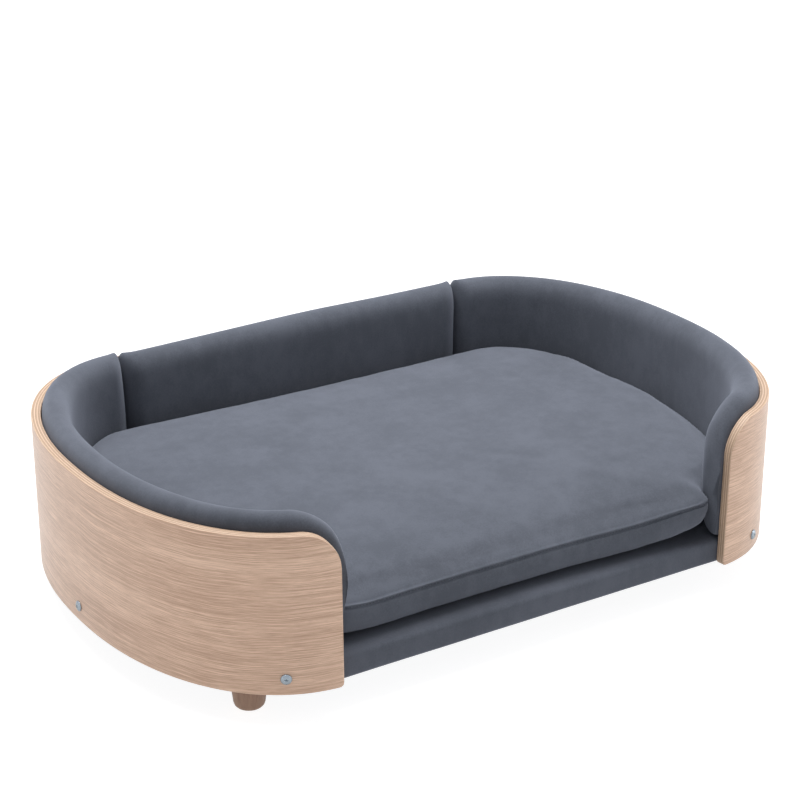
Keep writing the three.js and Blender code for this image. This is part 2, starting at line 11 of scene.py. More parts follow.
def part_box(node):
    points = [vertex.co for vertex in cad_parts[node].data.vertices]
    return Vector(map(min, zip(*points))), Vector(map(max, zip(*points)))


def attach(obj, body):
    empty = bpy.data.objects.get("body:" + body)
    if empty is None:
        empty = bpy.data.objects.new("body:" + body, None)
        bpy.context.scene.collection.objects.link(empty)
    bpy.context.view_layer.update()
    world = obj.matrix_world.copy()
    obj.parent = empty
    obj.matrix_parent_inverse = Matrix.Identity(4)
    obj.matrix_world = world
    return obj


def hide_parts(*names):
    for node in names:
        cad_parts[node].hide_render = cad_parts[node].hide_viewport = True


# Looks of the dog bed: veneered bent-plywood panels, suede-like grey bolsters, cushion and deck,
# turned legs and zinc-plated screws. Metres, +Z up, the open front faces -Y.

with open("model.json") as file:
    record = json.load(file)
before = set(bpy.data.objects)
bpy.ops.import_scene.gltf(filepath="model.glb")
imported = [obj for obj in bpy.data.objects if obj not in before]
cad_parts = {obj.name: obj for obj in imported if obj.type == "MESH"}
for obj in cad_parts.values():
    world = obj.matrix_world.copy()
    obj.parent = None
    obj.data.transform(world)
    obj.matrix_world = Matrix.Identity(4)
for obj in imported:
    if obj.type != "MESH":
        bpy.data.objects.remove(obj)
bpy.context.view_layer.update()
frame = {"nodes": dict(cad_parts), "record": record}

MM = 0.001

# ---- sizes, most of them read from the frame ----

ROUNDNESS = 2.2  # exponent of the superellipse at each end
HALF_DEPTH = 334 * MM
back_low, back_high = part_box("back_panel")
HALF_WIDTH = -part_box("left_side_panel")[0].x
PANEL_JOINT = 0.15 * MM  # from the back panel's end to where the round ends start
HALF_BACK = back_high.x + PANEL_JOINT
END_REACH = HALF_WIDTH - HALF_BACK
CENTRE_Y = back_high.y - HALF_DEPTH
PLY = back_high.y - back_low.y
PANEL_LOW = back_low.z
PANEL_TOP = back_high.z
OPENING_HALF = 299 * MM
TOP_CORNER = 52 * MM
BOTTOM_CORNER = 6 * MM
END_LEAN = 2 * MM  # how much further back a panel's front end stands at the top
DECK_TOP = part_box("deck_cover")[1].z
DECK_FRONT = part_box("deck_cover")[0].y
DECK_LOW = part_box("deck_cover")[0].z - 4 * MM  # the cloth turns under its board
BOLSTER_THICK = 40 * MM
BOLSTER_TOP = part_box("back_bolster")[1].z
CUSHION_LOW, CUSHION_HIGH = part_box("cushion_cover")

BOLT_NAMES = [n for n in frame["nodes"] if n.endswith("_bolt")]
LEG_NAMES = ["front_left", "front_right", "rear_left", "rear_right"]
PROBE = 10 * MM  # a step inwards, to find a direction with


# ---- plan outline ----

def end_point(degrees, inset):
    """Points of the right-hand end in plan (90 is the back, -90 the front), set in from the outer face."""
    angle = np.radians(np.asarray(degrees, float))
    cos, sin = np.abs(np.cos(angle)), np.sin(angle)
    power = 2 / ROUNDNESS
    x = HALF_BACK + END_REACH * cos ** power
    y = HALF_DEPTH * np.sign(sin) * np.abs(sin) ** power
    slope = 2 * (ROUNDNESS - 1) / ROUNDNESS
    nx = cos ** slope / END_REACH
    ny = np.sign(sin) * np.abs(sin) ** slope / HALF_DEPTH
    length = np.hypot(nx, ny)
    return np.stack([x - inset * nx / length, CENTRE_Y + y - inset * ny / length], axis=-1)


def distance_along(points):
    """Distance along a line of points, at each of them."""
    return np.concatenate([[0], np.cumsum(np.linalg.norm(np.diff(points, axis=0), axis=1))])


def points_at(places, distance, points):
    """Points at places along a line, from its points and their distances along it."""
    return np.stack([np.interp(places, distance, points[:, k]) for k in range(points.shape[1])], axis=-1)


class Path:
    """A way round the panels in plan, by distance along their outer face. side is -1, 0 (back) or 1."""

    def __init__(self, side):
        self.side = side
        if side == 0:
            self.outer = np.array([[-HALF_BACK, back_high.y], [HALF_BACK, back_high.y]])
            self.inward = np.array([[0.0, -1.0], [0.0, -1.0]])
        else:
            angles = np.linspace(-89.9, 90, 1400)
            outer = end_point(angles, 0)
            inner = end_point(angles, PROBE)
            keep = (outer[:, 0] >= OPENING_HALF) | (angles > 0)
            outer, inner = outer[keep], inner[keep]
            inward = (inner - outer) / PROBE
            mirror = np.array([side, 1.0])
            self.outer = outer * mirror
            self.inward = inward * mirror
        self.distance = distance_along(self.outer)
        self.length = self.distance[-1]

    def at(self, along, inset):
        """Plan points at distances along the path, set in from the outer face."""
        along, inset = np.broadcast_arrays(np.asarray(along, float), np.asarray(inset, float))
        clipped = np.clip(along, 0, self.length)
        base = points_at(clipped, self.distance, self.outer)
        inward = points_at(clipped, self.distance, self.inward)
        start = self.outer[1] - self.outer[0]
        end = self.outer[-1] - self.outer[-2]
        before = np.minimum(along, 0)[..., None] * start / np.linalg.norm(start)
        after = np.maximum(along - self.length, 0)[..., None] * end / np.linalg.norm(end)
        return base + inward * inset[..., None] + before + after


# ---- mesh helpers ----

def face_outwards(mesh):
    """Turns all the faces of a closed mesh to look out."""
    work = bmesh.new()
    work.from_mesh(mesh)
    bmesh.ops.recalc_face_normals(work, faces=work.faces)
    work.to_mesh(mesh)
    work.free()


def new_object(name, verts, faces, material, smooth=True):
    mesh = bpy.data.meshes.new(name)
    mesh.from_pydata([tuple(v) for v in verts], [], faces)
    mesh.validate()
    face_outwards(mesh)
    mesh.polygons.foreach_set("use_smooth", [smooth] * len(mesh.polygons))
    mesh.materials.append(material)
    obj = bpy.data.objects.new(name, mesh)
    bpy.context.scene.collection.objects.link(obj)
    return obj


def apply_modifiers(obj):
    """Leaves the object with its modifiers' result as its own mesh."""
    graph = bpy.context.evaluated_depsgraph_get()
    mesh = bpy.data.meshes.new_from_object(obj.evaluated_get(graph))
    obj.modifiers.clear()
    obj.data = mesh
    return obj


def bevel(obj, width, segments=3, angle=40):
    modifier = obj.modifiers.new("edge", "BEVEL")
    modifier.width = width
    modifier.segments = segments
    modifier.limit_method = "ANGLE"
    modifier.angle_limit = math.radians(angle)
    modifier.use_clamp_overlap = True
    return apply_modifiers(obj)


def ring_faces(rings, count):
    """Quads between neighbouring rings of equal length."""
    faces = []
    for ring in range(rings - 1):
        low, high = ring * count, (ring + 1) * count
        for k in range(count):
            nxt = (k + 1) % count
            faces.append((low + k, low + nxt, high + nxt, high + k))
    return faces


def capped_faces(rings, count):
    """Quads between rings, and fans to the two end points that come after the rings' points."""
    faces = ring_faces(rings, count)
    start, last = rings * count, (rings - 1) * count
    for k in range(count):
        nxt = (k + 1) % count
        faces.append((start, nxt, k))
        faces.append((start + 1, last + k, last + nxt))
    return faces


def loft(name, rings, material):
    """A closed skin through rings of equal length, with fans at both ends."""
    rings = np.asarray(rings, float)
    verts = np.vstack([rings.reshape(-1, 3), rings[0].mean(0), rings[-1].mean(0)])
    return new_object(name, verts, capped_faces(*rings.shape[:2]), material)


def turned(name, profile, material, sides=64):
    """A turned piece about Z from (radius, height) pairs that start and end on the axis."""
    profile = np.array(profile, float)
    angles = np.linspace(0, 2 * np.pi, sides, endpoint=False)
    rings = np.array([np.stack([r * np.cos(angles), r * np.sin(angles), np.full(sides, z)], axis=-1)
                      for r, z in profile[1:-1]])
    verts = np.vstack([rings.reshape(-1, 3), [0, 0, profile[0, 1]], [0, 0, profile[-1, 1]]])
    return new_object(name, verts, capped_faces(len(rings), sides), material)


def spline(points, count):
    """A closed centripetal Catmull-Rom curve through points, resampled evenly by length."""
    points = np.array(points, float)
    padded = np.vstack([points[-1], points, points[:2]])
    fine = []
    for p0, p1, p2, p3 in zip(padded, padded[1:], padded[2:], padded[3:]):
        pairs = ((p0, p1), (p1, p2), (p2, p3))
        knots = np.cumsum([0] + [np.linalg.norm(b - a) ** 0.5 + 1e-9 for a, b in pairs])
        t = np.linspace(knots[1], knots[2], 12, endpoint=False)[:, None]

        def between(a, b, low, high):
            return a + (b - a) * (t - knots[low]) / (knots[high] - knots[low])

        a1, a2, a3 = between(p0, p1, 0, 1), between(p1, p2, 1, 2), between(p2, p3, 2, 3)
        b1, b2 = between(a1, a2, 0, 2), between(a2, a3, 1, 3)
        fine.extend(between(b1, b2, 1, 2))
    fine = np.array(fine + [points[0]])
    distance = distance_along(fine)
    return points_at(np.linspace(0, distance[-1], count + 1)[:-1], distance, fine)


def smoothstep(value, low, high):
    t = np.clip((np.asarray(value, float) - low) / (high - low), 0, 1)
    return t * t * (3 - 2 * t)


def noise_at(points, scale, seed):
    """Smooth noise from about -1 to 1 at each point."""
    shift = Vector((seed, seed * 1.7, seed * 0.6))
    return np.array([noise.noise(Vector(p) * scale + shift) for p in points])


def ruffle(obj, amount, scale, seed, stretch=(1, 1, 1)):
    """Moves an object's points in and out by smooth noise, as stuffing does."""
    points = get_points(obj)
    normals = np.empty(len(points) * 3)
    obj.data.vertices.foreach_get("normal", normals)
    offset = noise_at(points * np.array(stretch), scale, seed) * amount
    set_points(obj, points + normals.reshape(-1, 3) * offset[:, None])


CLOTH_VOXEL = 7 * MM
CLOTH_FRAMES = 20
CLOTH_NEIGHBOURS = 10  # cloth points that a point of the cover follows
CLOTH_SETTINGS = {
    "use_pressure": True, "uniform_pressure_force": 4.0, "mass": 0.3,
    "tension_stiffness": 20, "compression_stiffness": 20, "bending_stiffness": 0.4,
}


def blown_up(obj, cap):
    """Blows a coarse copy of a stuffed piece up as cloth, and tells how far points near it are pushed out."""
    scene = bpy.context.scene
    copy = bpy.data.objects.new("cloth_copy", obj.data.copy())
    scene.collection.objects.link(copy)
    remesh = copy.modifiers.new("even", "REMESH")
    remesh.mode = "VOXEL"
    remesh.voxel_size = CLOTH_VOXEL
    apply_modifiers(copy)
    before = get_points(copy)
    outwards = np.array([tuple(vertex.normal) for vertex in copy.data.vertices])
    settings = copy.modifiers.new("cloth", "CLOTH").settings
    for key, value in CLOTH_SETTINGS.items():
        setattr(settings, key, value)
    settings.effector_weights.gravity = 0
    for frame_number in range(1, CLOTH_FRAMES + 1):
        scene.frame_set(frame_number)
    apply_modifiers(copy)
    scene.frame_set(1)
    push = ((get_points(copy) - before) * outwards).sum(axis=1)
    bpy.data.objects.remove(copy)
    return spread(before, outwards * np.clip(push, 0, cap)[:, None])


def spread(places, moves):
    """Tells how far points move when the points at these places make these moves."""
    tree = KDTree(len(places))
    for index, place in enumerate(places):
        tree.insert(place, index)
    tree.balance()

    def shift(points):
        answer = np.empty_like(points)
        for index, point in enumerate(points):
            near = tree.find_n(point, CLOTH_NEIGHBOURS)
            weights = np.array([1 / (distance + 3 * MM) for _, _, distance in near])
            answer[index] = weights @ moves[[k for _, k, _ in near]] / weights.sum()
        return answer

    return shift


def set_points(obj, points):
    obj.data.vertices.foreach_set("co", np.asarray(points, float).ravel())
    obj.data.update()


def get_points(obj):
    points = np.empty(len(obj.data.vertices) * 3)
    obj.data.vertices.foreach_get("co", points)
    return points.reshape(-1, 3)


# ---- materials ----

class Nodes:
    """Builds a node material: each call adds nodes and returns their result."""

    def __init__(self, name):
        self.material = bpy.data.materials.new(name)
        self.material.use_nodes = True
        self.tree = self.material.node_tree
        self.shader = self.tree.nodes["Principled BSDF"]

    def feed(self, item, socket):
        """Links an output to a socket, or sets the socket to a number, a vector or a colour."""
        if isinstance(item, tuple):
            socket.default_value = (*item, 1)[:len(socket.default_value)]
        elif isinstance(item, (int, float)):
            socket.default_value = item
        elif item is not None:
            self.tree.links.new(item, socket)

    def add(self, kind, inputs, **settings):
        node = self.tree.nodes.new(kind)
        for key, value in settings.items():
            setattr(node, key, value)
        for socket, item in inputs.items():
            self.feed(item, node.inputs[socket])
        return node.outputs

    def coords(self, attribute=None):
        if attribute:
            return self.add("ShaderNodeAttribute", {}, attribute_name=attribute)["Vector"]
        return self.add("ShaderNodeTexCoord", {})["Object"]

    def noise(self, vector, scale, detail, roughness=0.55, distortion=0.0):
        """Noise from 0 to 1; scale is a number, or one for each axis."""
        if isinstance(scale, tuple):
            vector = self.add("ShaderNodeMapping", {"Vector": vector, "Scale": scale})["Vector"]
            scale = 1.0
        return self.add("ShaderNodeTexNoise", {
            "Vector": vector, "Scale": scale, "Detail": detail,
            "Roughness": roughness, "Distortion": distortion,
        })["Fac"]

    def ramp(self, factor, stops):
        node = self.tree.nodes.new("ShaderNodeValToRGB")
        self.feed(factor, node.inputs["Fac"])
        elements = node.color_ramp.elements
        while len(elements) < len(stops):
            elements.new(0.5)
        for element, (place, colour) in zip(elements, stops):
            element.position = place
            element.color = (*colour, 1)
        return node.outputs["Color"]

    def remap(self, factor, low, high, to_low, to_high):
        return self.add("ShaderNodeMapRange", {
            "Value": factor, "From Min": low, "From Max": high, "To Min": to_low, "To Max": to_high,
        })["Result"]

    def math(self, operation, first, second=None):
        return self.add("ShaderNodeMath", {0: first, 1: second}, operation=operation)["Value"]

    def weighed(self, *parts):
        """The sum of some results, each times its weight."""
        products = [self.math("MULTIPLY", result, weight) for result, weight in parts]
        total = products.pop()
        while products:
            total = self.math("ADD", products.pop(), total)
        return total

    def mix(self, factor, first, second):
        inputs = {0: factor, 6: first, 7: second}
        return self.add("ShaderNodeMix", inputs, data_type="RGBA", blend_type="MIX")[2]

    def bump(self, height, strength, distance):
        inputs = {"Height": height, "Strength": strength, "Distance": distance}
        return self.add("ShaderNodeBump", inputs)["Normal"]

    def finish(self, colour, roughness, normal=None, **others):
        """Feeds the surface: its colour, roughness and normal, and others by name with _ for a space."""
        inputs = {"Base Color": colour, "Roughness": roughness, "Normal": normal}
        inputs.update({name.replace("_", " "): value for name, value in others.items()})
        for name, item in inputs.items():
            self.feed(item, self.shader.inputs[name])
        return self.material


def oak_veneer():
    """Face veneer: fine, slightly wavy grain along the bend, with short dark pores."""
    n = Nodes("oak_veneer")
    board = n.coords("board")
    waves = n.noise(board, (5, 1, 9), detail=2)
    lift = n.add("ShaderNodeCombineXYZ", {"Z": n.math("MULTIPLY", waves, 0.014)})["Vector"]
    grain_at = n.add("ShaderNodeVectorMath", {0: board, 1: lift}, operation="ADD")["Vector"]
    bands = n.noise(grain_at, (1.6, 1, 34), detail=3)
    streaks = n.noise(grain_at, (6, 1, 760), detail=3, roughness=0.65)
    flecks = n.noise(grain_at, (32, 1, 1400), detail=3, roughness=0.65)
    mixed = n.weighed((bands, 0.16), (streaks, 0.42), (flecks, 0.4))
    tone = n.ramp(mixed, [(0.43, VENEER_DARK), (0.5, VENEER_MID), (0.57, VENEER_LIGHT)])
    pores = n.noise(grain_at, (55, 1, 1300), detail=2, roughness=0.7)
    pore_mask = n.remap(pores, 0.58, 0.72, 0.0, 0.3)
    colour = n.mix(pore_mask, tone, VENEER_PORE)
    height = n.math("SUBTRACT", n.math("MULTIPLY", streaks, 0.5), pore_mask)
    return n.finish(colour, n.remap(streaks, 0.3, 0.7, 0.4, 0.52), n.bump(height, 0.3, 0.12 * MM),
                    IOR=1.47, Coat_Weight=0.45, Coat_Roughness=0.28)


def ply_edge():
    """Cut edge of the plywood: seven plies, long grain and end grain in turn, with thin glue lines."""
    n = Nodes("ply_edge")
    board = n.coords("board")
    depth_in = n.add("ShaderNodeSeparateXYZ", {"Vector": board})["Y"]
    wobble = n.math("SUBTRACT", n.noise(board, (18, 60, 18), detail=2), 0.5)
    depth = n.math("ADD", depth_in, n.math("MULTIPLY", wobble, 0.5 * MM))
    layer = n.math("MULTIPLY", depth, PLIES / PLY)
    within = n.math("FRACT", layer)
    even = n.math("GREATER_THAN", n.math("FRACT", n.math("MULTIPLY", layer, 0.5)), 0.5)
    long_grain = n.noise(board, (14, 900, 260), detail=4)
    end_grain = n.noise(board, (900, 700, 900), detail=3)
    light = n.ramp(long_grain, [(0.35, PLY_LIGHT_LOW), (0.65, PLY_LIGHT)])
    dark = n.ramp(end_grain, [(0.35, PLY_DARK_LOW), (0.65, PLY_DARK)])
    plies = n.mix(even, light, dark)
    from_line = n.math("MINIMUM", within, n.math("SUBTRACT", 1.0, within))
    colour = n.mix(n.remap(from_line, 0.03, 0.12, 0.75, 0.0), plies, PLY_GLUE)
    return n.finish(colour, n.remap(end_grain, 0.3, 0.7, 0.5, 0.65), n.bump(from_line, 0.3, 0.2 * MM),
                    IOR=1.47)


def suede(name, tint=1.0):
    """Soft short-piled cloth: fine mottled nap, cloudy brushing and a pale sheen at grazing angles."""
    n = Nodes(name)
    place = n.coords()
    clouds = n.noise(place, 11, detail=3)
    brushed = n.noise(place, (60, 60, 34), detail=4, roughness=0.6)
    nap = n.noise(place, 420, detail=4, roughness=0.7)
    fibres = n.noise(place, (1500, 700, 1500), detail=2)
    dark = tuple(c * tint for c in FABRIC_DARK)
    light = tuple(c * tint for c in FABRIC_LIGHT)
    mottled = n.weighed((clouds, 0.35), (brushed, 0.3), (nap, 0.35))
    colour = n.ramp(mottled, [(0.43, dark), (0.57, light)])
    height = n.weighed((nap, 0.7), (fibres, 0.3))
    return n.finish(colour, n.remap(brushed, 0.3, 0.7, 0.9, 1.0), n.bump(height, 0.45, 0.4 * MM),
                    IOR=1.35, Specular_IOR_Level=0.08, Sheen_Weight=FABRIC_SHEEN,
                    Sheen_Roughness=0.75, Sheen_Tint=FABRIC_SHEEN_TINT)


def plain_wood(name, light, dark, along="Z", roughness=0.6):
    """Solid wood or board with its grain along one axis."""
    n = Nodes(name)
    scales = {"X": (6, 130, 130), "Y": (130, 6, 130), "Z": (130, 130, 6)}[along]
    fine = tuple(s * 5 for s in scales)
    place = n.coords()
    bands = n.noise(place, scales, detail=3, distortion=0.4)
    streaks = n.noise(place, fine, detail=4, roughness=0.6)
    tone = n.ramp(bands, [(0.3, dark), (0.68, light)])
    colour = n.mix(n.remap(streaks, 0.5, 0.7, 0.0, 0.35), tone, tuple(c * 0.6 for c in dark))
    return n.finish(colour, n.remap(streaks, 0.3, 0.7, roughness - 0.07, roughness + 0.07),
                    n.bump(streaks, 0.25, 0.12 * MM), IOR=1.46)


def plated_steel(name, colour, roughness):
    """Plated steel with faint drawing marks and uneven polish."""
    n = Nodes(name)
    place = n.coords()
    marks = n.noise(place, (300, 2600, 300), detail=3)
    stains = n.noise(place, 140, detail=3)
    tone = n.ramp(stains, [(0.3, tuple(c * 0.82 for c in colour)), (0.7, colour)])
    return n.finish(tone, n.remap(marks, 0.3, 0.7, roughness * 0.8, roughness * 1.3),
                    n.bump(marks, 0.12, 0.05 * MM), Metallic=1.0)


def moulded(name, colour, roughness=0.55):
    """Moulded plastic with a fine spark-eroded texture."""
    n = Nodes(name)
    place = n.coords()
    grain = n.noise(place, 1800, detail=2)
    tone = n.noise(place, 60, detail=2)
    shade = n.ramp(tone, [(0.3, tuple(c * 0.75 for c in colour)), (0.7, colour)])
    return n.finish(shade, n.remap(grain, 0.3, 0.7, roughness - 0.08, roughness + 0.1),
                    n.bump(grain, 0.25, 0.06 * MM))


def open_foam():
    """Cream upholstery foam with open cells, each cell's hollow darkened as painted shade."""
    n = Nodes("open_foam")
    place = n.coords()
    cells = n.add("ShaderNodeTexVoronoi", {"Vector": place, "Scale": 900})["Distance"]
    yellowing = n.noise(place, 8, detail=2)
    tone = n.ramp(yellowing, [(0.3, (0.74, 0.68, 0.52)), (0.7, (0.82, 0.78, 0.66))])
    # painted shade: the cream darkens towards each cell's middle, where its hollow lies
    colour = n.mix(n.remap(cells, 0.0, 0.5, 0.35, 0.0), tone, (0.45, 0.4, 0.3))
    return n.finish(colour, 0.95, n.bump(cells, 0.6, 0.5 * MM))


def zip_weave():
    """Woven zip tape: a fine herringbone-like weave."""
    n = Nodes("zip_weave")
    place = n.coords()
    across = n.add("ShaderNodeTexWave", {"Vector": place, "Scale": 900, "Distortion": 0.6},
                   wave_type="BANDS", bands_direction="DIAGONAL")["Fac"]
    fuzz = n.noise(place, 700, detail=2)
    colour = n.ramp(fuzz, [(0.3, (0.035, 0.038, 0.046)), (0.7, (0.06, 0.064, 0.076))])
    return n.finish(colour, 0.85, n.bump(across, 0.5, 0.2 * MM))


VENEER_LIGHT = (0.82, 0.575, 0.42)
VENEER_MID = (0.655, 0.435, 0.305)
VENEER_DARK = (0.50, 0.305, 0.20)
VENEER_PORE = (0.25, 0.145, 0.09)
PLIES = 7
PLY_LIGHT = (0.57, 0.42, 0.31)
PLY_LIGHT_LOW = (0.50, 0.35, 0.24)
PLY_DARK = (0.39, 0.27, 0.185)
PLY_DARK_LOW = (0.30, 0.20, 0.135)
PLY_GLUE = (0.16, 0.10, 0.07)
FABRIC_LIGHT = (0.062, 0.068, 0.0835)
FABRIC_DARK = (0.041, 0.0455, 0.056)
FABRIC_SHEEN = 0.35
FABRIC_SHEEN_TINT = (0.67, 0.72, 0.85)

VENEER = oak_veneer()
PLY_EDGE = ply_edge()
SUEDE = suede("grey_suede")
THREAD = suede("seam_thread", 0.3)
LEG_WOOD = plain_wood("leg_wood", (0.36, 0.225, 0.155), (0.27, 0.16, 0.108), "Z", 0.5)
BASE_WOOD = plain_wood("base_wood", (0.50, 0.36, 0.23), (0.40, 0.28, 0.17), "X", 0.7)
DOWEL_WOOD = plain_wood("dowel_wood", (0.58, 0.42, 0.28), (0.48, 0.33, 0.2), "X", 0.7)
ZINC = plated_steel("zinc", (0.34, 0.39, 0.43), 0.27)
ZIP_METAL = plated_steel("zip_metal", (0.55, 0.57, 0.6), 0.3)
GLIDE_PLASTIC = moulded("glide_plastic", (0.02, 0.02, 0.022))
ZIP_PLASTIC = moulded("zip_plastic", (0.05, 0.054, 0.062), 0.4)
FOAM = open_foam()
ZIP_WEAVE = zip_weave()


# ---- panels ----

PANEL_STEP = 6 * MM
GRAIN_SHIFT = 3.1  # between one panel's grain and the next
LEAN_LENGTH = 90 * MM  # length at a panel's front end that leans
FACE_TURN = 0.8  # a polygon whose normal is less along the thickness cuts across the plies


def corner_stations(path):
    """Distances along a panel: close together round its front corners, then even."""
    if path.side == 0:
        return np.linspace(0, path.length, 90)
    turn = np.radians(np.linspace(0, 90, 15))
    low = BOTTOM_CORNER * (1 - np.cos(turn[::2]))
    high = TOP_CORNER * (1 - np.cos(turn))
    near = np.unique(np.round(np.concatenate([low, high]), 6))
    near = near[np.concatenate([[True], np.diff(near) > 0.3 * MM])]
    count = int((path.length - TOP_CORNER) / PANEL_STEP)
    return np.concatenate([near, np.linspace(TOP_CORNER, path.length, count)[1:]])


def edge_heights(path, along):
    """Heights of a panel's lower and upper edge at distances along it."""
    if path.side == 0:
        return np.full(len(along), PANEL_LOW), np.full(len(along), PANEL_TOP)
    short = np.clip(TOP_CORNER - along, 0, None)
    top = PANEL_TOP - TOP_CORNER + np.sqrt(TOP_CORNER ** 2 - short ** 2)
    short = np.clip(BOTTOM_CORNER - along, 0, None)
    low = PANEL_LOW + BOTTOM_CORNER - np.sqrt(BOTTOM_CORNER ** 2 - short ** 2)
    return low, top


def flat_board(name, path):
    """The panel laid out flat: X along the bend, Y through the thickness, Z up, with eased edges."""
    along = corner_stations(path)
    low, top = edge_heights(path, along)
    rows = np.linspace(0, 1, 9)
    verts = []
    for depth in (0, PLY):
        for s, z0, z1 in zip(along, low, top):
            verts += [(s, depth, z0 + (z1 - z0) * r) for r in rows]
    columns, count = len(along), len(rows)
    side = columns * count
    faces = []
    for k in range(columns - 1):
        for r in range(count - 1):
            a, b = k * count + r, (k + 1) * count + r
            faces.append((a, b, b + 1, a + 1))
            faces.append((side + a, side + a + 1, side + b + 1, side + b))
        a, b = k * count, (k + 1) * count
        faces.append((a, side + a, side + b, b))
        a, b = a + count - 1, b + count - 1
        faces.append((a, b, side + b, side + a))
    for r in range(count - 1):
        faces.append((r, r + 1, side + r + 1, side + r))
        a = (columns - 1) * count + r
        faces.append((a, side + a, side + a + 1, a + 1))
    board = new_object(name, verts, faces, VENEER)
    return bevel(board, 1.6 * MM, 4, 50)


def bend_board(board, path):
    """Bends a flat board along its path, keeps the flat place of each point for the wood's grain, and marks
    the faces that cut across the plies."""
    flat = get_points(board)
    mesh = board.data
    mesh.materials.append(PLY_EDGE)
    for polygon in mesh.polygons:
        if abs(polygon.normal.y) < FACE_TURN:
            polygon.material_index = 1
    attribute = mesh.attributes.new("board", "FLOAT_VECTOR", "POINT")
    apart = np.array([path.side * GRAIN_SHIFT, 0, 0])
    attribute.data.foreach_set("vector", (flat + apart).ravel())
    along = flat[:, 0].copy()
    if path.side != 0:
        lean = END_LEAN * (flat[:, 2] - PANEL_LOW) / (PANEL_TOP - PANEL_LOW)
        along += lean * (1 - smoothstep(flat[:, 0], 0, LEAN_LENGTH))
    plan = path.at(along, flat[:, 1])
    set_points(board, np.column_stack([plan, flat[:, 2]]))
    face_outwards(mesh)
    return board


def make_panels():
    for name, side in (("left_side_panel", -1), ("right_side_panel", 1), ("back_panel", 0)):
        path = Path(side)
        panel = bend_board(flat_board(f"{name}_veneered", path), path)
        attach(panel, "frame")
        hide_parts(name)


# ---- bolsters ----

# Section of a bolster in millimetres: depth off the panel, then height as a share of the whole and an
# offset from there.
BOLSTER_FULL = [
    (0.3, 0, 12), (0.3, 0.5, 0), (0.3, 1, -32), (0.6, 1, -20), (2.6, 1, -10), (8, 1, -2.8), (16, 1, 0),
    (25, 1, -2.5), (33, 1, -10), (37.6, 1, -21), (39.4, 1, -38), (40, 0.5, 0), (39, 0, 46), (36, 0, 24),
    (31, 0, 11), (23, 0, 3.5), (12, 0, 0.5), (3, 0, 1.5),
]
# The same section where a side bolster's end meets the back one: pulled down and back.
BOLSTER_SIDE_SEAM = [
    (0.3, 0, 12), (0.3, 0.5, 0), (0.3, 1, -34), (0.4, 1, -30), (0.8, 1, -28), (1.6, 1, -28), (2.6, 1, -31),
    (4.5, 1, -42), (8, 1, -56), (12, 1, -70), (15, 1, -84), (17, 0.45, 0), (17.5, 0, 46), (16.5, 0, 24),
    (15, 0, 12), (12, 0, 5), (8, 0, 2), (3, 0, 2.5),
]
# The back bolster's ends: squarer at the crest.
BOLSTER_BACK_SEAM = [
    (0.3, 0, 12), (0.3, 0.5, 0), (0.3, 1, -18), (0.4, 1, -13), (0.9, 1, -9), (2.4, 1, -7.5), (5, 1, -9),
    (9, 1, -14), (12.5, 1, -24), (14, 1, -40), (14, 1, -60), (12.5, 0.42, 0), (10, 0, 46), (9.5, 0, 24),
    (9, 0, 12), (7.5, 0, 5), (5, 0, 2), (2.4, 0, 2.5),
]
# And at the front end, a flat face with rounded edges.
BOLSTER_FRONT = [
    (2.6, 0, 14), (1.2, 0.5, 0), (-1, 1, -36), (-1, 1, -26), (1, 1, -18), (5, 1, -12.5), (9.5, 1, -11),
    (14, 1, -12.5), (19.5, 1, -17), (23, 1, -26), (25, 1, -40), (26.5, 0.5, 0), (25.5, 0, 46), (23, 0, 26),
    (20, 0, 14), (15, 0, 7.5), (9, 0, 5), (4.5, 0, 6),
]
SECTION_POINTS = 84
BOLSTER_STEP = 7 * MM
BOLSTER_REST = 0.4 * MM  # above the deck's cover
PANEL_GAP = 0.7 * MM  # behind a bolster
SEAM_GAP = 0.4 * MM  # between two bolsters
FRONT_ROUND = 15 * MM
SEAM_ROUND = 28 * MM
SIDE_SEAM_DROP = 10 * MM  # length over which a bolster's crest comes down at a seam
BACK_SEAM_DROP = 6 * MM
BOLSTER_PROUD = 2 * MM
LEFT_SWELL = 10 * MM  # how much further the front ends swell out above the cushion
RIGHT_SWELL = 2 * MM
BOLSTER_CORNER = 66 * MM  # radius of a bolster's outline round the panel's front corner


def section_at(template, top):
    """A section's points as (depth off the panel, height), for a crest at this height."""
    bottom = DECK_TOP + BOLSTER_REST
    points = [(depth * MM, bottom + share * (top - bottom) + offset * MM)
              for depth, share, offset in template]
    return spline(points, SECTION_POINTS)


def quarter_round(distance, radius):
    """From 0 at an end to 1 where its rounding stops."""
    left = 1 - min(max(distance / radius, 0), 1)
    return math.sqrt(1 - left * left)


def round_stations(length, front, seam):
    """Distances along a bolster, close together where an end is rounded by front or seam metres."""
    turn = 1 - np.cos(np.radians(np.linspace(0, 90, 16)))
    start = -BOLSTER_PROUD + front * turn if front else seam * turn
    end = length - seam * turn[::-1]
    middle = np.linspace(start[-1], end[0], int((end[0] - start[-1]) / BOLSTER_STEP))[1:-1]
    return np.concatenate([start, middle, end])


def front_swell(side, along, heights):
    """How far a side bolster's front end swells past the panel's end, at heights on its section."""
    near = 1 - smoothstep(along, -BOLSTER_PROUD, 48 * MM)
    swell = RIGHT_SWELL if side > 0 else LEFT_SWELL
    return swell * near * smoothstep(heights, 96 * MM, 172 * MM)


def crest_lift(side, along, length):
    """How far a bolster's crest stands above or below its even height."""
    if side == 0:
        return -7 * MM * (1 - smoothstep(along, -40 * MM, 330 * MM))
    if side > 0:
        return 3 * MM * math.sin(math.pi * along / length) if 0 < along < length else 0.0
    return -3.5 * MM * smoothstep(along, length - 260 * MM, length)


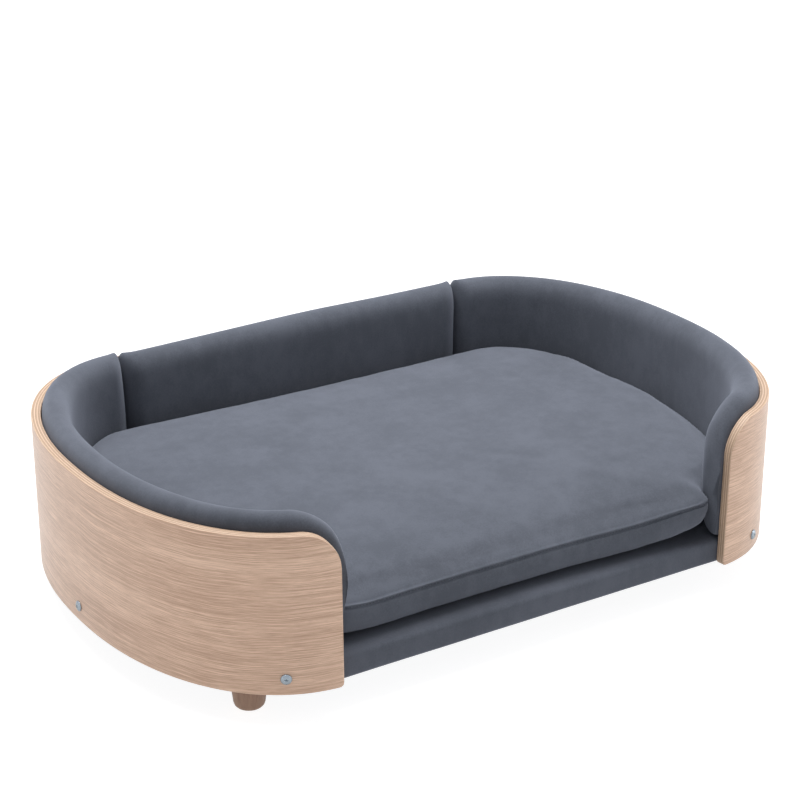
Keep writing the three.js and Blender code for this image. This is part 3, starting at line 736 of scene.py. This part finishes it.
def bolster_section(side, along, length):
    """A bolster's section at a distance along it, drawn in at its seams and at a front end."""
    top = BOLSTER_TOP + crest_lift(side, along, length)
    if side and along + BOLSTER_PROUD < BOLSTER_CORNER:
        short = BOLSTER_CORNER - (along + BOLSTER_PROUD)
        top -= BOLSTER_CORNER - math.sqrt(max(BOLSTER_CORNER ** 2 - short ** 2, 0))
    full = section_at(BOLSTER_FULL, top)
    seam = section_at(BOLSTER_SIDE_SEAM if side else BOLSTER_BACK_SEAM, top)
    from_seam = length - along if side else min(length - along, along - SEAM_GAP)
    drop = SIDE_SEAM_DROP if side else BACK_SEAM_DROP
    filled = np.array([quarter_round(from_seam, SEAM_ROUND), quarter_round(from_seam, drop)])
    section = full * filled + seam * (1 - filled)
    if side:
        filled = quarter_round(along + BOLSTER_PROUD, FRONT_ROUND)
        section = section * filled + section_at(BOLSTER_FRONT, top) * (1 - filled)
    return section


def make_bolster(name, side):
    path = Path(side)
    length = path.length - SEAM_GAP
    stations = round_stations(length, FRONT_ROUND if side else None, SEAM_ROUND)
    if side == 0:
        stations = np.clip(stations, SEAM_GAP, length)
    rings = []
    for s in stations:
        section = bolster_section(side, s, length)
        along = np.full(SECTION_POINTS, s)
        if side:
            along -= front_swell(side, s, section[:, 1])
        plan = path.at(along, PLY + PANEL_GAP + section[:, 0])
        rings.append(np.column_stack([plan, section[:, 1]]))
    bolster = loft(f"{name}_pad", rings, SUEDE)
    ruffle(bolster, 0.6 * MM, 10, 5.0 + side)
    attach(bolster, "frame")
    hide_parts(name)


def make_bolsters():
    for name, side in (("left_bolster", -1), ("right_bolster", 1), ("back_bolster", 0)):
        make_bolster(name, side)


# ---- deck ----

def deck_outline(inset, front_inset):
    """The base's outline in plan, set in from the panels' outer face and, at the front, from its own."""
    right = end_point(np.linspace(-90, 90, 90), inset)
    right[:, 1] = np.maximum(right[:, 1], DECK_FRONT + front_inset)
    left = right[::-1] * np.array([-1, 1])
    across = np.linspace(1, -1, 40)[1:-1]
    back = np.column_stack([across * right[-1, 0], np.full(len(across), right[-1, 1])])
    front = np.column_stack([-across * right[0, 0], np.full(len(across), right[0, 1])])
    return np.vstack([right, back, left, front])


def make_deck():
    """The base's upholstered top: a soft front edge wrapped round the board, and a slow rise behind it."""
    clear = PLY + 1.2 * MM
    profile = [  # millimetres in from the outline and up from the lowest point
        (18, 1.2), (9, 0.2), (3, 0), (0.8, 0.6), (0.1, 2.4), (0, 6), (0, 14), (0, 21), (0.3, 24),
        (1.2, 26.2), (2.8, 27.8), (5, 28.8), (9, 29.7), (16, 30.4), (29, 31), (57, 31.8),
    ]
    scale = (DECK_TOP - DECK_LOW) / (profile[-1][1] * MM)
    rings = []
    for inset, height in profile:
        plan = deck_outline(clear + inset * MM, inset * MM)
        rings.append(np.column_stack([plan, np.full(len(plan), DECK_LOW + height * MM * scale)]))
    last = rings[-1]
    middle = np.array([0, CENTRE_Y, DECK_TOP])
    rings += [middle + (last - middle) * share for share in (0.85, 0.65, 0.45, 0.25, 0.08)]
    first = rings[0]
    rings.insert(0, first + np.array([0, 0, 1.6 * MM]))
    deck = loft("deck_cover_cloth", rings, SUEDE)
    ruffle(deck, 0.3 * MM, 14, 21.0)
    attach(deck, "frame")
    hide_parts("deck_cover")


# ---- cushion ----

CUSHION_CENTRE = np.array([0, CENTRE_Y - 15 * MM])
CUSHION_CROWN = CUSHION_HIGH.z - CUSHION_LOW.z
OUTLINE_POINTS = 420
REAR_LIFT = 4 * MM  # how much higher the cushion stands along its back edge
CUSHION_PUFF = 3.5 * MM  # the most the cushion's stuffing pushes its cover out
NOSE_MIDDLE = 296.5 * MM  # how far in front of the middle the cushion's front seam runs
HELD_BACK = 0.85  # how much of the nose's left corner its bolster takes away
# Millimetres up from the seam and out from the band.
SEAM_PROFILE = [(-2.4, 0.2), (-1.0, 0.1), (-0.3, -0.8), (0.3, -0.8), (1.0, -0.1), (2.4, -0.3)]
FILL_SKIN = 4 * MM  # from the cover's outside to the fill
COVER_ZIP_DEPTH = 1.3 * MM  # of the cover behind the zip's teeth
FILL_ZIP_DEPTH = 5 * MM


def cushion_outline():
    """The cushion in plan: round ends beside the bolsters, and a nose that fills the open front."""
    inset = PLY + 1 * MM + BOLSTER_THICK + 2.5 * MM
    arc = end_point(np.linspace(90, -78, 60), inset)
    arc[:, 1] = np.minimum(arc[:, 1], CUSHION_HIGH.y)
    arc = arc[(arc[:, 0] > 330 * MM) | (arc[:, 1] > CENTRE_Y)]
    nose = np.array([
        [318, -271], [306, -276], [298, -282], [292.5, -290], [290, -299], [289.5, -307], [287, -313.5],
        [280, -316.5], [266, -316], [235, -311.5], [180, -305], [120, -300.5], [60, -297.5],
    ]) * MM + np.array([0, CENTRE_Y])
    right = np.vstack([arc, nose])
    left = right[::-1] * np.array([-1, 1])
    proud = np.clip(CENTRE_Y - NOSE_MIDDLE - left[:, 1], 0, None)
    left[:, 1] += HELD_BACK * proud
    across = np.linspace(-1, 1, 12)[1:-1] * HALF_BACK
    back = np.column_stack([across, np.full(len(across), right[0, 1])])
    loop = np.vstack([right, [[0, CENTRE_Y - NOSE_MIDDLE]], left, back])
    return soften(spline(loop, OUTLINE_POINTS), 4)


def soften(values, passes):
    """Averages values with their neighbours round a ring."""
    for _ in range(passes):
        values = (np.roll(values, 1, 0) + 2 * values + np.roll(values, -1, 0)) / 4
    return values


class CushionForm:
    """How the cushion's shape changes round its outline, skin metres inside its surface."""

    def __init__(self, outline, skin):
        x, y = outline[:, 0], outline[:, 1] - CENTRE_Y
        rear = smoothstep(y, 40 * MM, 240 * MM)
        front = smoothstep(-y, 120 * MM, 290 * MM)
        left = front * smoothstep(-x, 235 * MM, 292 * MM)
        right = front * smoothstep(x, 235 * MM, 295 * MM)
        tip = smoothstep(-y, 150 * MM, 300 * MM) * smoothstep(x, 150 * MM, 290 * MM)
        tip = soften(tip, 12)
        self.outline, self.skin, self.rear, self.tip = outline, skin, rear, tip
        self.top_seam = (53 + 14 * rear - 9 * front + 5 * left + 11 * tip) * MM - skin
        self.lift = soften(6 * front + 5 * left + 13 * tip + 9 * right, 6) * MM
        self.low_edge = self.lift + (9 + 2 * tip) * MM
        self.reach = soften(7 + 11 * (1 - rear) + 14 * smoothstep(-y, 0, 170 * MM), 40) * MM
        self.towards = outline - CUSHION_CENTRE
        self.radius = np.linalg.norm(self.towards, axis=1)
        self.unit = self.towards / self.radius[:, None]

    def ring(self, share, height, bulge=0.0):
        """A ring at a share of the way out to the outline, then bulged out."""
        offset = np.broadcast_to(bulge, len(self.outline))[:, None] - self.skin
        plan = CUSHION_CENTRE + self.towards * share + self.unit * offset
        return np.column_stack([plan, CUSHION_LOW.z + np.clip(height, self.skin, None)])

    def crown(self, share):
        """Heights of the top cloth: it rises from the seam, slowly from the front one, and levels out."""
        plan = CUSHION_CENTRE + self.towards * share
        nose = NOSE_MIDDLE + 20 * MM * np.clip(plan[:, 0] / (280 * MM), 0, 1.2) ** 2
        from_front = np.clip(plan[:, 1] - CENTRE_Y + nose, 0, None)
        over_front = np.maximum((from_front / (62 * MM)) ** 0.85, 1e-4)
        over_side = ((1 - share) * self.radius / self.reach) ** 0.7
        over = 1 - np.exp(-1 / np.sqrt(over_front ** -2 + over_side ** -2))
        even = self.top_seam.mean()
        seam = even + (self.top_seam - even) * share ** 2
        full = CUSHION_CROWN + REAR_LIFT * self.rear * share ** 2
        height = seam + (full - 1.5 * self.skin - seam) * over
        return soften(height, int(60 * (1 - share)))

    def underside(self):
        rings = [self.ring(share, 0.2 * MM + self.lift * smoothstep(share, 0.78, 1.0))
                 for share in (0.12, 0.4, 0.7, 0.8, 0.86, 0.92)]
        for degrees in (6, 20, 38, 56, 74):
            turn = math.radians(degrees)
            under = self.lift * smoothstep(0.92, 0.78, 1.0) * math.cos(turn)
            height = under + self.low_edge * (1 - math.cos(turn))
            rings.append(self.ring(0.945 + 0.05 * math.sin(turn), height))
        return rings

    def band(self):
        rings = []
        for t in np.linspace(0, 0.92, 11):
            bulge = (3.5 - 2 * self.tip) * MM * math.sin(math.pi * (0.12 + 0.88 * t))
            height = self.low_edge + (self.top_seam - self.low_edge) * t
            rings.append(self.ring(0.995 + 0.005 * t, height, bulge))
        return rings

    def seam(self):
        """The sewn top seam: the cloth dips in between two soft lips."""
        return [self.ring(1.0, self.top_seam + rise * MM, out * MM) for rise, out in SEAM_PROFILE]


def cushion_rings(outline, skin=0.0):
    """The cushion's surface from underneath, round the band and over the crown; and the seam's first ring."""
    form = CushionForm(outline, skin)
    rings = form.underside() + form.band()
    seam = len(rings)
    inwards = np.concatenate([np.linspace(0.009, 0.1, 12), np.linspace(0.115, 0.4, 16),
                              np.linspace(0.44, 0.95, 12)])
    crown = [form.ring(share, form.crown(share)) for share in 1 - inwards]
    return rings + form.seam() + crown, seam


def zip_seated(points, depth):
    """The rear band drawn in behind the zip, depth metres behind the teeth."""
    low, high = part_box("zip_chain")
    middle, half = (low.z + high.z) / 2, (high.z - low.z) / 2
    near = 1 - smoothstep(np.abs(points[:, 2] - middle), half, half + 9 * MM)
    near *= smoothstep(points[:, 0], low.x - 12 * MM, low.x)
    near *= 1 - smoothstep(points[:, 0], high.x, high.x + 12 * MM)
    seated = points.copy()
    seated[:, 1] -= np.clip(points[:, 1] - (high.y - depth), 0, None) * near
    return seated


def make_cushion():
    outline = cushion_outline()
    rings, seam = cushion_rings(outline)
    cushion = loft("cushion_cover_cloth", rings, SUEDE)
    fill = loft("cushion_fill_pad", cushion_rings(outline, FILL_SKIN)[0], FOAM)
    shift = blown_up(cushion, CUSHION_PUFF)

    def puffed(points):
        # the zip keeps the back edge in line, and the underside stays flat
        held = smoothstep(points[:, 1], 150 * MM, 240 * MM)[:, None]
        free = smoothstep(points[:, 2], CUSHION_LOW.z, CUSHION_LOW.z + 12 * MM)[:, None]
        return points + shift(points) * (1 - held) * free

    set_points(fill, puffed(get_points(fill)))
    set_points(cushion, puffed(get_points(cushion)))
    ruffle(cushion, 0.6 * MM, 9, 3.0)
    ruffle(cushion, 0.5 * MM, 38, 11.0, (1, 1, 0.35))
    set_points(cushion, zip_seated(get_points(cushion), COVER_ZIP_DEPTH))
    set_points(fill, zip_seated(get_points(fill), FILL_ZIP_DEPTH))
    make_stitches(stitch_line(get_points(cushion), outline, seam))
    for piece, node, slot in ((cushion, "cushion_cover", "grey_velvet"), (fill, "cushion_fill", "foam")):
        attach(piece, "cushion")
        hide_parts(node)


def stitch_line(points, outline, seam):
    """Where the stitches run: just proud of the bottom of the seam's groove, its third and fourth ring."""
    lower, upper = (points[(seam + k) * OUTLINE_POINTS:(seam + k + 1) * OUTLINE_POINTS] for k in (2, 3))
    out = np.column_stack([outline - CUSHION_CENTRE, np.zeros(OUTLINE_POINTS)])
    out /= np.linalg.norm(out, axis=1)[:, None]
    return (lower + upper) / 2 + out * STITCH_PROUD


STITCH_PITCH = 4.8 * MM
STITCH_LENGTH = 3.3 * MM
THREAD_RADIUS = 0.5 * MM
STITCH_PROUD = 1.2 * MM  # from the bottom of the seam's groove


def stitch_rings(start, end, sides):
    """Rings of points round one stitch, thinner towards its ends."""
    along = (end - start) / np.linalg.norm(end - start)
    side = np.cross(along, (0, 0, 1))
    side /= np.linalg.norm(side)
    up = np.cross(side, along)
    for share, radius in ((0, 0.3), (0.12, 0.85), (0.5, 1), (0.88, 0.85), (1, 0.3)):
        centre = start + (end - start) * share
        for turn in np.linspace(0, 2 * np.pi, sides, endpoint=False):
            yield centre + (side * np.cos(turn) + up * np.sin(turn)) * THREAD_RADIUS * radius


def make_stitches(seam):
    """Short dark stitches sunk in the cushion's top seam."""
    loop = np.vstack([seam, seam[:1]])
    distance = distance_along(loop)
    verts, faces = [], []
    sides, rings = 6, 5
    for place in np.arange(0, distance[-1] - STITCH_PITCH, STITCH_PITCH):
        start, end = points_at(np.array([place, place + STITCH_LENGTH]), distance, loop)
        first, last = len(verts), len(verts) + (rings - 1) * sides
        verts.extend(stitch_rings(start, end, sides))
        faces.extend(tuple(first + k for k in face) for face in ring_faces(rings, sides))
        faces.append(tuple(first + k for k in range(sides))[::-1])
        faces.append(tuple(last + k for k in range(sides)))
    stitches = new_object("cushion_stitches", verts, faces, THREAD)
    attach(stitches, "cushion")


# ---- legs and hardware ----

LEG_TAPER = 4.5 * MM  # how much less a leg's radius is at its foot
SCREW_MIDDLE = 13 * MM  # from the panel's face to the middle of a screw
HEAD_GAP = 0.1 * MM  # between a screw's head and the panel
FIRST_TURN = 17  # degrees the first screw's cross stands turned, then each next one further
NEXT_TURN = 41

def make_leg(name):
    """A round leg, a little thinner towards its foot, with an eased top and a rounded foot."""
    low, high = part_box(f"{name}_leg")
    centre = (low + high) / 2
    top, foot = (high.x - low.x) / 2, (high.x - low.x) / 2 - LEG_TAPER
    leg = turned(f"{name}_turned_leg", [
        (0, high.z), (top - 1.2 * MM, high.z), (top, high.z - 1.2 * MM),
        (top - 2.2 * MM, centre.z), (foot + 0.4 * MM, low.z + 7 * MM),
        (foot - 0.8 * MM, low.z + 3.6 * MM), (foot - 3 * MM, low.z + 1.3 * MM),
        (foot - 6 * MM, low.z + 0.2 * MM), (foot - 7.5 * MM, low.z), (0, low.z)], LEG_WOOD)
    leg.location = (centre.x, centre.y, 0)
    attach(leg, "frame")
    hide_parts(f"{name}_leg")


def make_glide(name):
    """A nailed plastic glide under a leg, hollow in the middle of its sole."""
    low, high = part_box(f"{name}_glide")
    centre = (low + high) / 2
    radius = (high.x - low.x) / 2
    glide = turned(f"{name}_nail_glide", [
        (0, 2.7 * MM), (radius - 1 * MM, 2.7 * MM), (radius, 2.2 * MM), (radius, 1.1 * MM),
        (radius - 0.5 * MM, 0.4 * MM), (radius - 1.6 * MM, 0), (3 * MM, 0), (2.4 * MM, 0.5 * MM),
        (0, 0.6 * MM)], GLIDE_PLASTIC)
    glide.location = (centre.x, centre.y, 0)
    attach(glide, "frame")
    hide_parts(f"{name}_glide")


def make_legs():
    for name in LEG_NAMES:
        make_leg(name)
        make_glide(name)


def screw_mesh(name):
    """A truss-head machine screw along +Z (inwards), its head's underside at z = 0, with a cross recess."""
    head, tall, shank, length = 7 * MM, 3.3 * MM, 3 * MM, 29 * MM
    profile = [(0, -tall)]
    for t in np.linspace(8, 90, 12):
        angle = math.radians(t)
        profile.append((head * math.sin(angle) ** 0.9, -tall * math.cos(angle) * 0.86 - 0.14 * tall))
    profile += [(head, -0.1 * MM), (head - 0.3 * MM, 0), (shank, 0), (shank, length - 1 * MM),
                (shank - 1 * MM, length), (0, length)]
    body = turned(name, profile, ZINC, 48)
    cutters = []
    for turn in (0, 90):
        wing = box_mesh(f"{name}_wing", (4.4 * MM, 1.15 * MM, 2.6 * MM))
        wing.location = (0, 0, -tall - 0.2 * MM)
        wing.rotation_euler = (0, 0, math.radians(turn))
        cutters.append(wing)
    pit = turned(f"{name}_pit", [(0, -tall - 1 * MM), (1.6 * MM, -tall - 1 * MM), (0.5 * MM, -tall + 2.2 * MM),
                                 (0, -tall + 2.6 * MM)], ZINC, 16)
    cutters.append(pit)
    for cutter in cutters:
        modifier = body.modifiers.new("recess", "BOOLEAN")
        modifier.operation = "DIFFERENCE"
        modifier.solver = "EXACT"
        modifier.object = cutter
    bpy.context.view_layer.update()
    apply_modifiers(body)
    for cutter in cutters:
        bpy.data.objects.remove(cutter)
    return body


def box_mesh(name, size, material=ZINC):
    x, y, z = (s / 2 for s in size)
    verts = [(a, b, c) for a in (-x, x) for b in (-y, y) for c in (-z, z)]
    faces = [(0, 1, 3, 2), (4, 6, 7, 5), (0, 4, 5, 1), (2, 3, 7, 6), (0, 2, 6, 4), (1, 5, 7, 3)]
    return new_object(name, verts, faces, material, smooth=False)


def bolt_place(name):
    """Where a panel screw's head sits on the panel, and the inward direction, from the CAD node."""
    low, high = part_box(name)
    centre = (low + high) / 2
    if name.startswith("back"):
        return Vector((centre.x, back_high.y + HEAD_GAP, centre.z)), Vector((0, -1, 0))
    angles = np.linspace(-90, 90, 3601)
    side = math.copysign(1, centre.x)
    outer = end_point(angles, 0)
    middle = end_point(angles, SCREW_MIDDLE)
    nearest = np.argmin(np.hypot(middle[:, 0] - abs(centre.x), middle[:, 1] - centre.y))
    inner = end_point(angles[nearest:nearest + 1], PROBE)[0]
    inward = (inner - outer[nearest]) / PROBE
    point = outer[nearest] - inward * HEAD_GAP
    return Vector((side * point[0], point[1], centre.z)), Vector((side * inward[0], inward[1], 0))


def make_bolts():
    pattern = screw_mesh("screw_pattern")
    for index, name in enumerate(BOLT_NAMES):
        place, inward = bolt_place(name)
        up = Vector((0, 0, 1))
        across = up.cross(inward)
        turn = Matrix.Rotation(math.radians(FIRST_TURN + NEXT_TURN * index), 4, "Z")
        basis = Matrix((across, up, inward)).transposed().to_4x4()
        mesh = pattern.data.copy()
        mesh.transform(Matrix.Translation(place) @ basis @ turn)
        screw = bpy.data.objects.new(f"{name}_truss_head", mesh)
        bpy.context.scene.collection.objects.link(screw)
        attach(screw, "frame")
        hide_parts(name)
    bpy.data.objects.remove(pattern)


# ---- zip ----

ZIP_PITCH = 2.4 * MM
ZIP_STAGGER = 0.35 * MM  # the teeth stand above and below the middle in turn
ZIP_EDGE = 0.25 * MM


def zip_teeth(low, high):
    """A row of small rounded teeth along the outside of the zip's box."""
    unit = box_mesh("zip_tooth", (1.5 * MM, 0.7 * MM, 2.6 * MM))
    bevel(unit, ZIP_EDGE, 2)
    shape = get_points(unit)
    polygons = [tuple(p.vertices) for p in unit.data.polygons]
    middle = (low.z + high.z) / 2
    verts, faces = [], []
    for k in range(int((high.x - low.x) / ZIP_PITCH)):
        start = len(verts)
        rise = -ZIP_STAGGER if k % 2 == 0 else ZIP_STAGGER
        verts.extend(shape + (low.x + (k + 0.5) * ZIP_PITCH, high.y - 0.3 * MM, middle + rise))
        faces.extend(tuple(start + i for i in polygon) for polygon in polygons)
    bpy.data.objects.remove(unit)
    return new_object("zip_teeth", verts, faces, ZIP_PLASTIC)


def make_zip():
    """A coil zip in the rear band: tape with a row of small teeth."""
    low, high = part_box("zip_chain")
    depth = high.y - low.y
    tape = box_mesh("zip_tape_strip", (high.x - low.x, depth * 0.6, high.z - low.z), ZIP_WEAVE)
    tape.data.transform(Matrix.Translation((0, low.y + depth * 0.3, (low.z + high.z) / 2)))
    bevel(tape, ZIP_EDGE, 2)
    for piece in (tape, zip_teeth(low, high)):
        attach(piece, "cushion")
        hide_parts("zip_chain")


def dress_cad_nodes():
    """Materials of the CAD nodes that stay."""
    looks = {
        "base_wood": BASE_WOOD, "beech_dowel": DOWEL_WOOD, "foam": FOAM, "zinc_steel": ZINC,
        "zip_metal": ZIP_METAL, "grey_velvet": SUEDE, "oak_plywood": VENEER, "leg_wood": LEG_WOOD,
        "dark_glide": GLIDE_PLASTIC, "zip_tape": ZIP_WEAVE,
    }
    for part in frame["record"]["subparts"]:
        node = frame["nodes"][part["node"]]
        node.data.materials.clear()
        node.data.materials.append(looks[part["material_slot"]])


# ---- camera, floor and light ----

VIEW_AZIMUTH = math.radians(-32.54)
VIEW_ELEVATION = math.radians(21.97)
VIEW_DISTANCE = 2.996
VIEW_TARGET = Vector((0.12105, 0.1991, 0.143))
LENS = 89.7


def make_camera():
    data = bpy.data.cameras.new("camera")
    data.lens = LENS
    data.sensor_width = 36
    camera = bpy.data.objects.new("camera", data)
    bpy.context.scene.collection.objects.link(camera)
    back = Vector((math.sin(VIEW_AZIMUTH) * math.cos(VIEW_ELEVATION),
                   -math.cos(VIEW_AZIMUTH) * math.cos(VIEW_ELEVATION), math.sin(VIEW_ELEVATION)))
    camera.location = VIEW_TARGET + back * VIEW_DISTANCE
    camera.rotation_euler = back.to_track_quat("Z", "Y").to_euler()
    bpy.context.scene.camera = camera


def area_light(name, place, target, size, energy):
    data = bpy.data.lights.new(name, "AREA")
    data.shape = "RECTANGLE"
    data.size, data.size_y = size
    data.energy = energy
    light = bpy.data.objects.new(name, data)
    light.location = place
    light.rotation_euler = (Vector(place) - Vector(target)).to_track_quat("Z", "Y").to_euler()
    bpy.context.scene.collection.objects.link(light)


FLOOR_SIZE = 12  # from the middle to each side
FLOOR_GLOW = 0.9  # as seen
FLOOR_LIGHT = 0.65  # as a light
WORLD_GLOW = 1.1  # as seen
WORLD_LIGHT = 0.3  # as a light


def make_floor():
    """A pale floor that fades to plain white away from the bed."""
    n = Nodes("studio_floor")
    place = n.coords()
    speckle = n.noise(place, 3, detail=2)
    colour = n.ramp(speckle, [(0.3, (0.29, 0.29, 0.29)), (0.7, (0.31, 0.31, 0.31))])
    away = n.add("ShaderNodeVectorMath", {0: place}, operation="LENGTH")["Value"]
    rays = n.add("ShaderNodeLightPath", {})
    near = n.remap(rays["Is Camera Ray"], 0, 1, FLOOR_LIGHT, FLOOR_GLOW)
    glow = n.math("MAXIMUM", near, n.remap(away, 0.5, 2.0, 0.0, 1.0))
    material = n.finish(colour, 0.7, Emission_Color=(1, 1, 1), Emission_Strength=glow)
    corners = [(x * FLOOR_SIZE, y * FLOOR_SIZE, 0) for x, y in ((-1, -1), (1, -1), (1, 1), (-1, 1))]
    floor = new_object("floor", corners, [(0, 1, 2, 3)], material, smooth=False)


def make_world():
    """A plain white surround, dimmer as a light than it looks."""
    world = bpy.data.worlds.new("studio")
    world.use_nodes = True
    tree = world.node_tree
    background = tree.nodes["Background"]
    background.inputs["Color"].default_value = (0.94, 0.95, 1.0, 1)
    rays = tree.nodes.new("ShaderNodeLightPath")
    strength = tree.nodes.new("ShaderNodeMapRange")
    strength.inputs["To Min"].default_value = WORLD_LIGHT
    strength.inputs["To Max"].default_value = WORLD_GLOW
    seen = tree.nodes.new("ShaderNodeMath")
    seen.operation = "MAXIMUM"
    tree.links.new(rays.outputs["Is Camera Ray"], seen.inputs[0])
    tree.links.new(rays.outputs["Is Glossy Ray"], seen.inputs[1])
    tree.links.new(seen.outputs["Value"], strength.inputs["Value"])
    tree.links.new(strength.outputs["Result"], background.inputs["Strength"])
    bpy.context.scene.world = world


def make_studio():
    make_world()
    area_light("overhead", (0.12, 0.4, 2.4), (0, 0.05, 0.1), (2.5, 1.9), 106)
    area_light("left_soft", (-3.2, 0.2, 1.3), (0, 0, 0.15), (1.2, 2.2), 4)
    area_light("right_soft", (3.0, -1.4, 1.1), (0.3, 0, 0.15), (1.2, 2.2), 20)
    bpy.context.scene.view_settings.view_transform = "Standard"


make_camera()
make_panels()
make_deck()
make_bolsters()
make_cushion()
make_legs()
make_bolts()
make_zip()
dress_cad_nodes()
make_floor()
make_studio()
